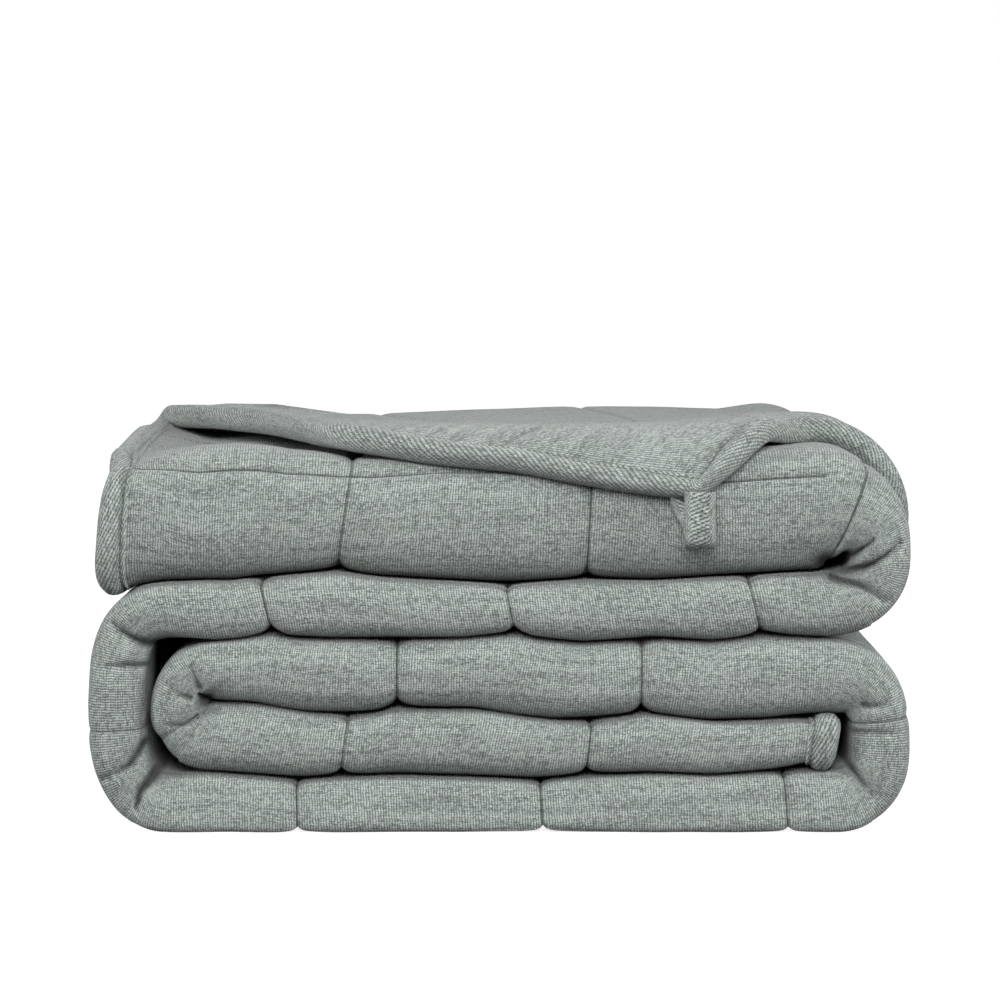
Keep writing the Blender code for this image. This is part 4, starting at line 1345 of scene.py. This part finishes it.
def heather(name, pitch, slant, loosely, deep, tone, sewn=False):
    """Heather knit with wales of that pitch; slant turns them, as on tape cut on the bias. Shade is
    painted into the pits of the knit. Where it is sewn, the map of distances to the seams paints a
    thin dark line of shade along each, and the map of the creases paints shade into the deep creases
    and the gaps between courses."""
    nodes = Nodes(name)
    uv = nodes.add("UVMap", {"uv_map": "cloth"}).outputs[0]
    split = nodes.add("SeparateXYZ", Vector=uv)
    u, v = split.outputs[0], split.outputs[1]
    pitch = pitch * math.hypot(1, slant)
    wobble = nodes.add("TexNoise", Vector=uv, Scale=WOBBLES, Detail=2.0).outputs[0]
    grain = nodes.add("TexNoise", Vector=uv, Scale=GRAINS, Detail=2.0, Roughness=0.7).outputs[0]

    across = nodes.over(nodes.plus(u, nodes.times(v, slant)), pitch)
    across = nodes.plus(across, nodes.times(wobble, loosely))
    number = nodes.maths("FLOOR", across)
    jog = nodes.add("TexWhiteNoise", {"noise_dimensions": "1D"}, W=number).outputs["Value"]
    along = nodes.over(nodes.minus(v, nodes.times(u, slant)), 0.9 * pitch)
    along = nodes.plus(along, nodes.plus(nodes.times(jog, 0.6), wobble))
    wale = nodes.from_middle(across)
    loops = nodes.from_middle(nodes.plus(along, nodes.times(wale, 0.9)))
    height = nodes.plus(nodes.times(nodes.wave(wale), 0.5), nodes.times(nodes.wave(loops), 0.28))
    height = nodes.plus(height, nodes.times(nodes.minus(grain, 0.5), 2.0))

    cell = nodes.add("CombineXYZ", X=nodes.maths("FLOOR", across), Y=nodes.maths("FLOOR", along))
    speck = nodes.add("TexWhiteNoise", {"noise_dimensions": "2D"}, Vector=cell.outputs[0])
    streaks = nodes.drawn_out(uv, STREAKS, 2.0, 0.65)
    clouds = nodes.drawn_out(uv, CLOUDS, 3.0, 0.6)
    heathered = nodes.plus(nodes.times(speck.outputs["Value"], 0.22), nodes.times(streaks, 0.93))
    heathered = nodes.plus(heathered, nodes.times(nodes.minus(clouds, 0.36), 0.55))
    yarn = nodes.blend(nodes.between(heathered, 0.32, 0.90), DARK_YARN, LIGHT_YARN)
    # Painted shade: the low places of the knit's height are darkened towards the pit shade colour.
    shaded_yarn = nodes.blend(nodes.between(height, -0.55, 0.25, deep, 0.0), yarn, PIT_SHADE)
    if sewn:
        seams = nodes.add("SeparateXYZ", Vector=nodes.add("UVMap", {"uv_map": "sewing"}).outputs[0])
        nearest = nodes.maths("MINIMUM", seams.outputs[0], seams.outputs[1])
        # Painted shade: a thin dark line along the groove of each seam.
        shaded_yarn = nodes.blend(nodes.between(nearest, 0.0002, 0.0009, 0.7, 0.0), shaded_yarn, PIT_SHADE)
        # Painted shade: the creases map darkens deep creases and the gaps between courses.
        folds = nodes.add("SeparateXYZ", Vector=nodes.add("UVMap", {"uv_map": "creases"}).outputs[0])
        fold_shade, gap_shade = nodes.times(folds.outputs[0], 0.82), nodes.times(folds.outputs[1], 0.58)
        shaded_yarn = nodes.blend(nodes.maths("MAXIMUM", fold_shade, gap_shade), shaded_yarn, DEEP_SHADE)
    toned = nodes.add("HueSaturation", Color=shaded_yarn, Value=tone).outputs[0]
    bump = nodes.add("Bump", Height=height, Strength=0.55, Distance=0.0004)
    shader = nodes.add("BsdfPrincipled", Base_Color=toned, Roughness=0.92, Normal=bump.outputs[0])
    shader.inputs["Specular IOR Level"].default_value = 0.15
    shader.inputs["Sheen Weight"].default_value = 0.25
    shader.inputs["Sheen Roughness"].default_value = 0.45
    output = nodes.add("OutputMaterial")
    nodes.feed(output.inputs["Surface"], shader.outputs[0])
    return nodes.material


knit = heather("quilted_knit", WALE, slant=0.0, loosely=0.95, deep=0.76, tone=1.0, sewn=True)
bias = heather("bias_binding", BIAS_WALE, slant=1.5, loosely=0.45, deep=0.78, tone=0.94)
tape = heather("loop_tape", TAPE_WALE, slant=1.0, loosely=0.3, deep=0.85, tone=1.03)
print("knits:", [(m.name, len(m.node_tree.nodes)) for m in (knit, bias, tape)])

# %% [markdown]
# ## Thread, and each cloth on its piece
#
# The stitches are of one dark thread, slightly smoother than the knit. They are so small that colour
# and roughness say all that can be seen of them.

# %% Thread
thread_nodes = Nodes("thread")
thread_shader = thread_nodes.add("BsdfPrincipled", Base_Color=(0.12, 0.135, 0.125, 1.0), Roughness=0.7)
thread_nodes.feed(thread_nodes.add("OutputMaterial").inputs["Surface"], thread_shader.outputs[0])
for piece, material in (
        (blanket, knit), (binding, bias), (loop, tape), (stitches, thread_nodes.material)):
    piece.data.materials.append(material)
print("materials:", [piece.data.materials[0].name for piece in (blanket, binding, loop, stitches)])

# %% [markdown]
# ## Give each piece its place in the model
#
# Each piece stands for one node of the packed model, whose part is hidden. Nothing moves, so
# all of them ride on the root.

# %% Frame
ROLES = (
    (blanket, "blanket", "quilted_knit"),
    (binding, "binding", "bias_binding"),
    (loop, "corner_loop", "loop_tape"),
    (stitches, "binding", "bias_binding"),
)
for piece, node, slot in ROLES:
    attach(piece, "root")
    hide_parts(node)
print("pieces:", [(piece.name, node) for piece, node, slot in ROLES])

# %% [markdown]
# ## Floor
#
# The photograph is a cut-out on white, so the floor has to be as white as the background and only
# take a faint shadow where the blanket touches it. A plain white floor would come out grey, so it
# glows a little. It throws no light of its own back onto the cloth.

# %% Floor
WHITE = (1.0, 1.0, 1.0, 1.0)
bpy.ops.mesh.primitive_plane_add(size=24, location=(0, 0, -0.0004))
floor = bpy.context.active_object
floor.name = "floor"
floor_nodes = Nodes("white_floor")
floor_shader = floor_nodes.add("BsdfPrincipled", Base_Color=(0.45, 0.45, 0.45, 1.0), Roughness=1.0)
floor_shader.inputs["Specular IOR Level"].default_value = 0.0
floor_shader.inputs["Emission Color"].default_value = WHITE
floor_shader.inputs["Emission Strength"].default_value = 0.88
floor.visible_diffuse = False
floor_output = floor_nodes.add("OutputMaterial")
floor_nodes.feed(floor_output.inputs["Surface"], floor_shader.outputs[0])
floor.data.materials.append(floor_nodes.material)
print("floor glows", floor_shader.inputs["Emission Strength"].default_value)

# %% [markdown]
# ## The white room
#
# The camera sees plain white all round. The cloth is lit by something dimmer that brightens towards
# the top, as under a large soft ceiling, so that the undersides of the folds stay dark.

# %% World
world = bpy.data.worlds.new("studio")
bpy.context.scene.world = world
world.use_nodes = True
tree = world.node_tree
tree.nodes.clear()
seen_by_camera = tree.nodes.new("ShaderNodeLightPath").outputs["Is Camera Ray"]
direction = tree.nodes.new("ShaderNodeSeparateXYZ")
by_height = tree.nodes.new("ShaderNodeMapRange")
for name, value in (("From Min", -0.08), ("From Max", 0.6), ("To Min", 0.02), ("To Max", 0.35)):
    by_height.inputs[name].default_value = value
background = tree.nodes.new("ShaderNodeBackground")
white = tree.nodes.new("ShaderNodeBackground")
choice = tree.nodes.new("ShaderNodeMixShader")
output = tree.nodes.new("ShaderNodeOutputWorld")
tree.links.new(tree.nodes.new("ShaderNodeTexCoord").outputs["Generated"], direction.inputs[0])
tree.links.new(direction.outputs["Z"], by_height.inputs["Value"])
tree.links.new(by_height.outputs[0], background.inputs["Strength"])
tree.links.new(seen_by_camera, choice.inputs[0])
tree.links.new(background.outputs[0], choice.inputs[1])
tree.links.new(white.outputs[0], choice.inputs[2])
tree.links.new(choice.outputs[0], output.inputs["Surface"])
background.inputs["Color"].default_value = white.inputs["Color"].default_value = WHITE
print("world:", [node.bl_idname for node in tree.nodes])

# %% [markdown]
# ## Lamps
#
# Three soft round lamps stand in front: one in the middle, above the camera's line, and one at each
# side that reaches into the bends. They are large, so their shadows have no hard edge. The Standard
# view keeps the white as white and the yarn in its own tone.

# %% Lamps
Lamp = namedtuple("Lamp", "name place size power")
LAMPS = (
    Lamp("key", (0.0, -1.45, 0.78), 0.8, 16.3),
    Lamp("left", (-2.0, -0.9, 0.8), 1.0, 23.0),
    Lamp("right", (2.0, -0.9, 0.8), 1.0, 31.0),
)
LIT_PLACE = (0.0, -0.1, 0.1)
for lamp in LAMPS:
    data = bpy.data.lights.new(lamp.name, "AREA")
    data.shape, data.size, data.energy = "DISK", lamp.size, lamp.power
    light = bpy.data.objects.new(lamp.name, data)
    bpy.context.scene.collection.objects.link(light)
    light.location = lamp.place
    aim(light, LIT_PLACE)
bpy.context.scene.view_settings.view_transform = "Standard"
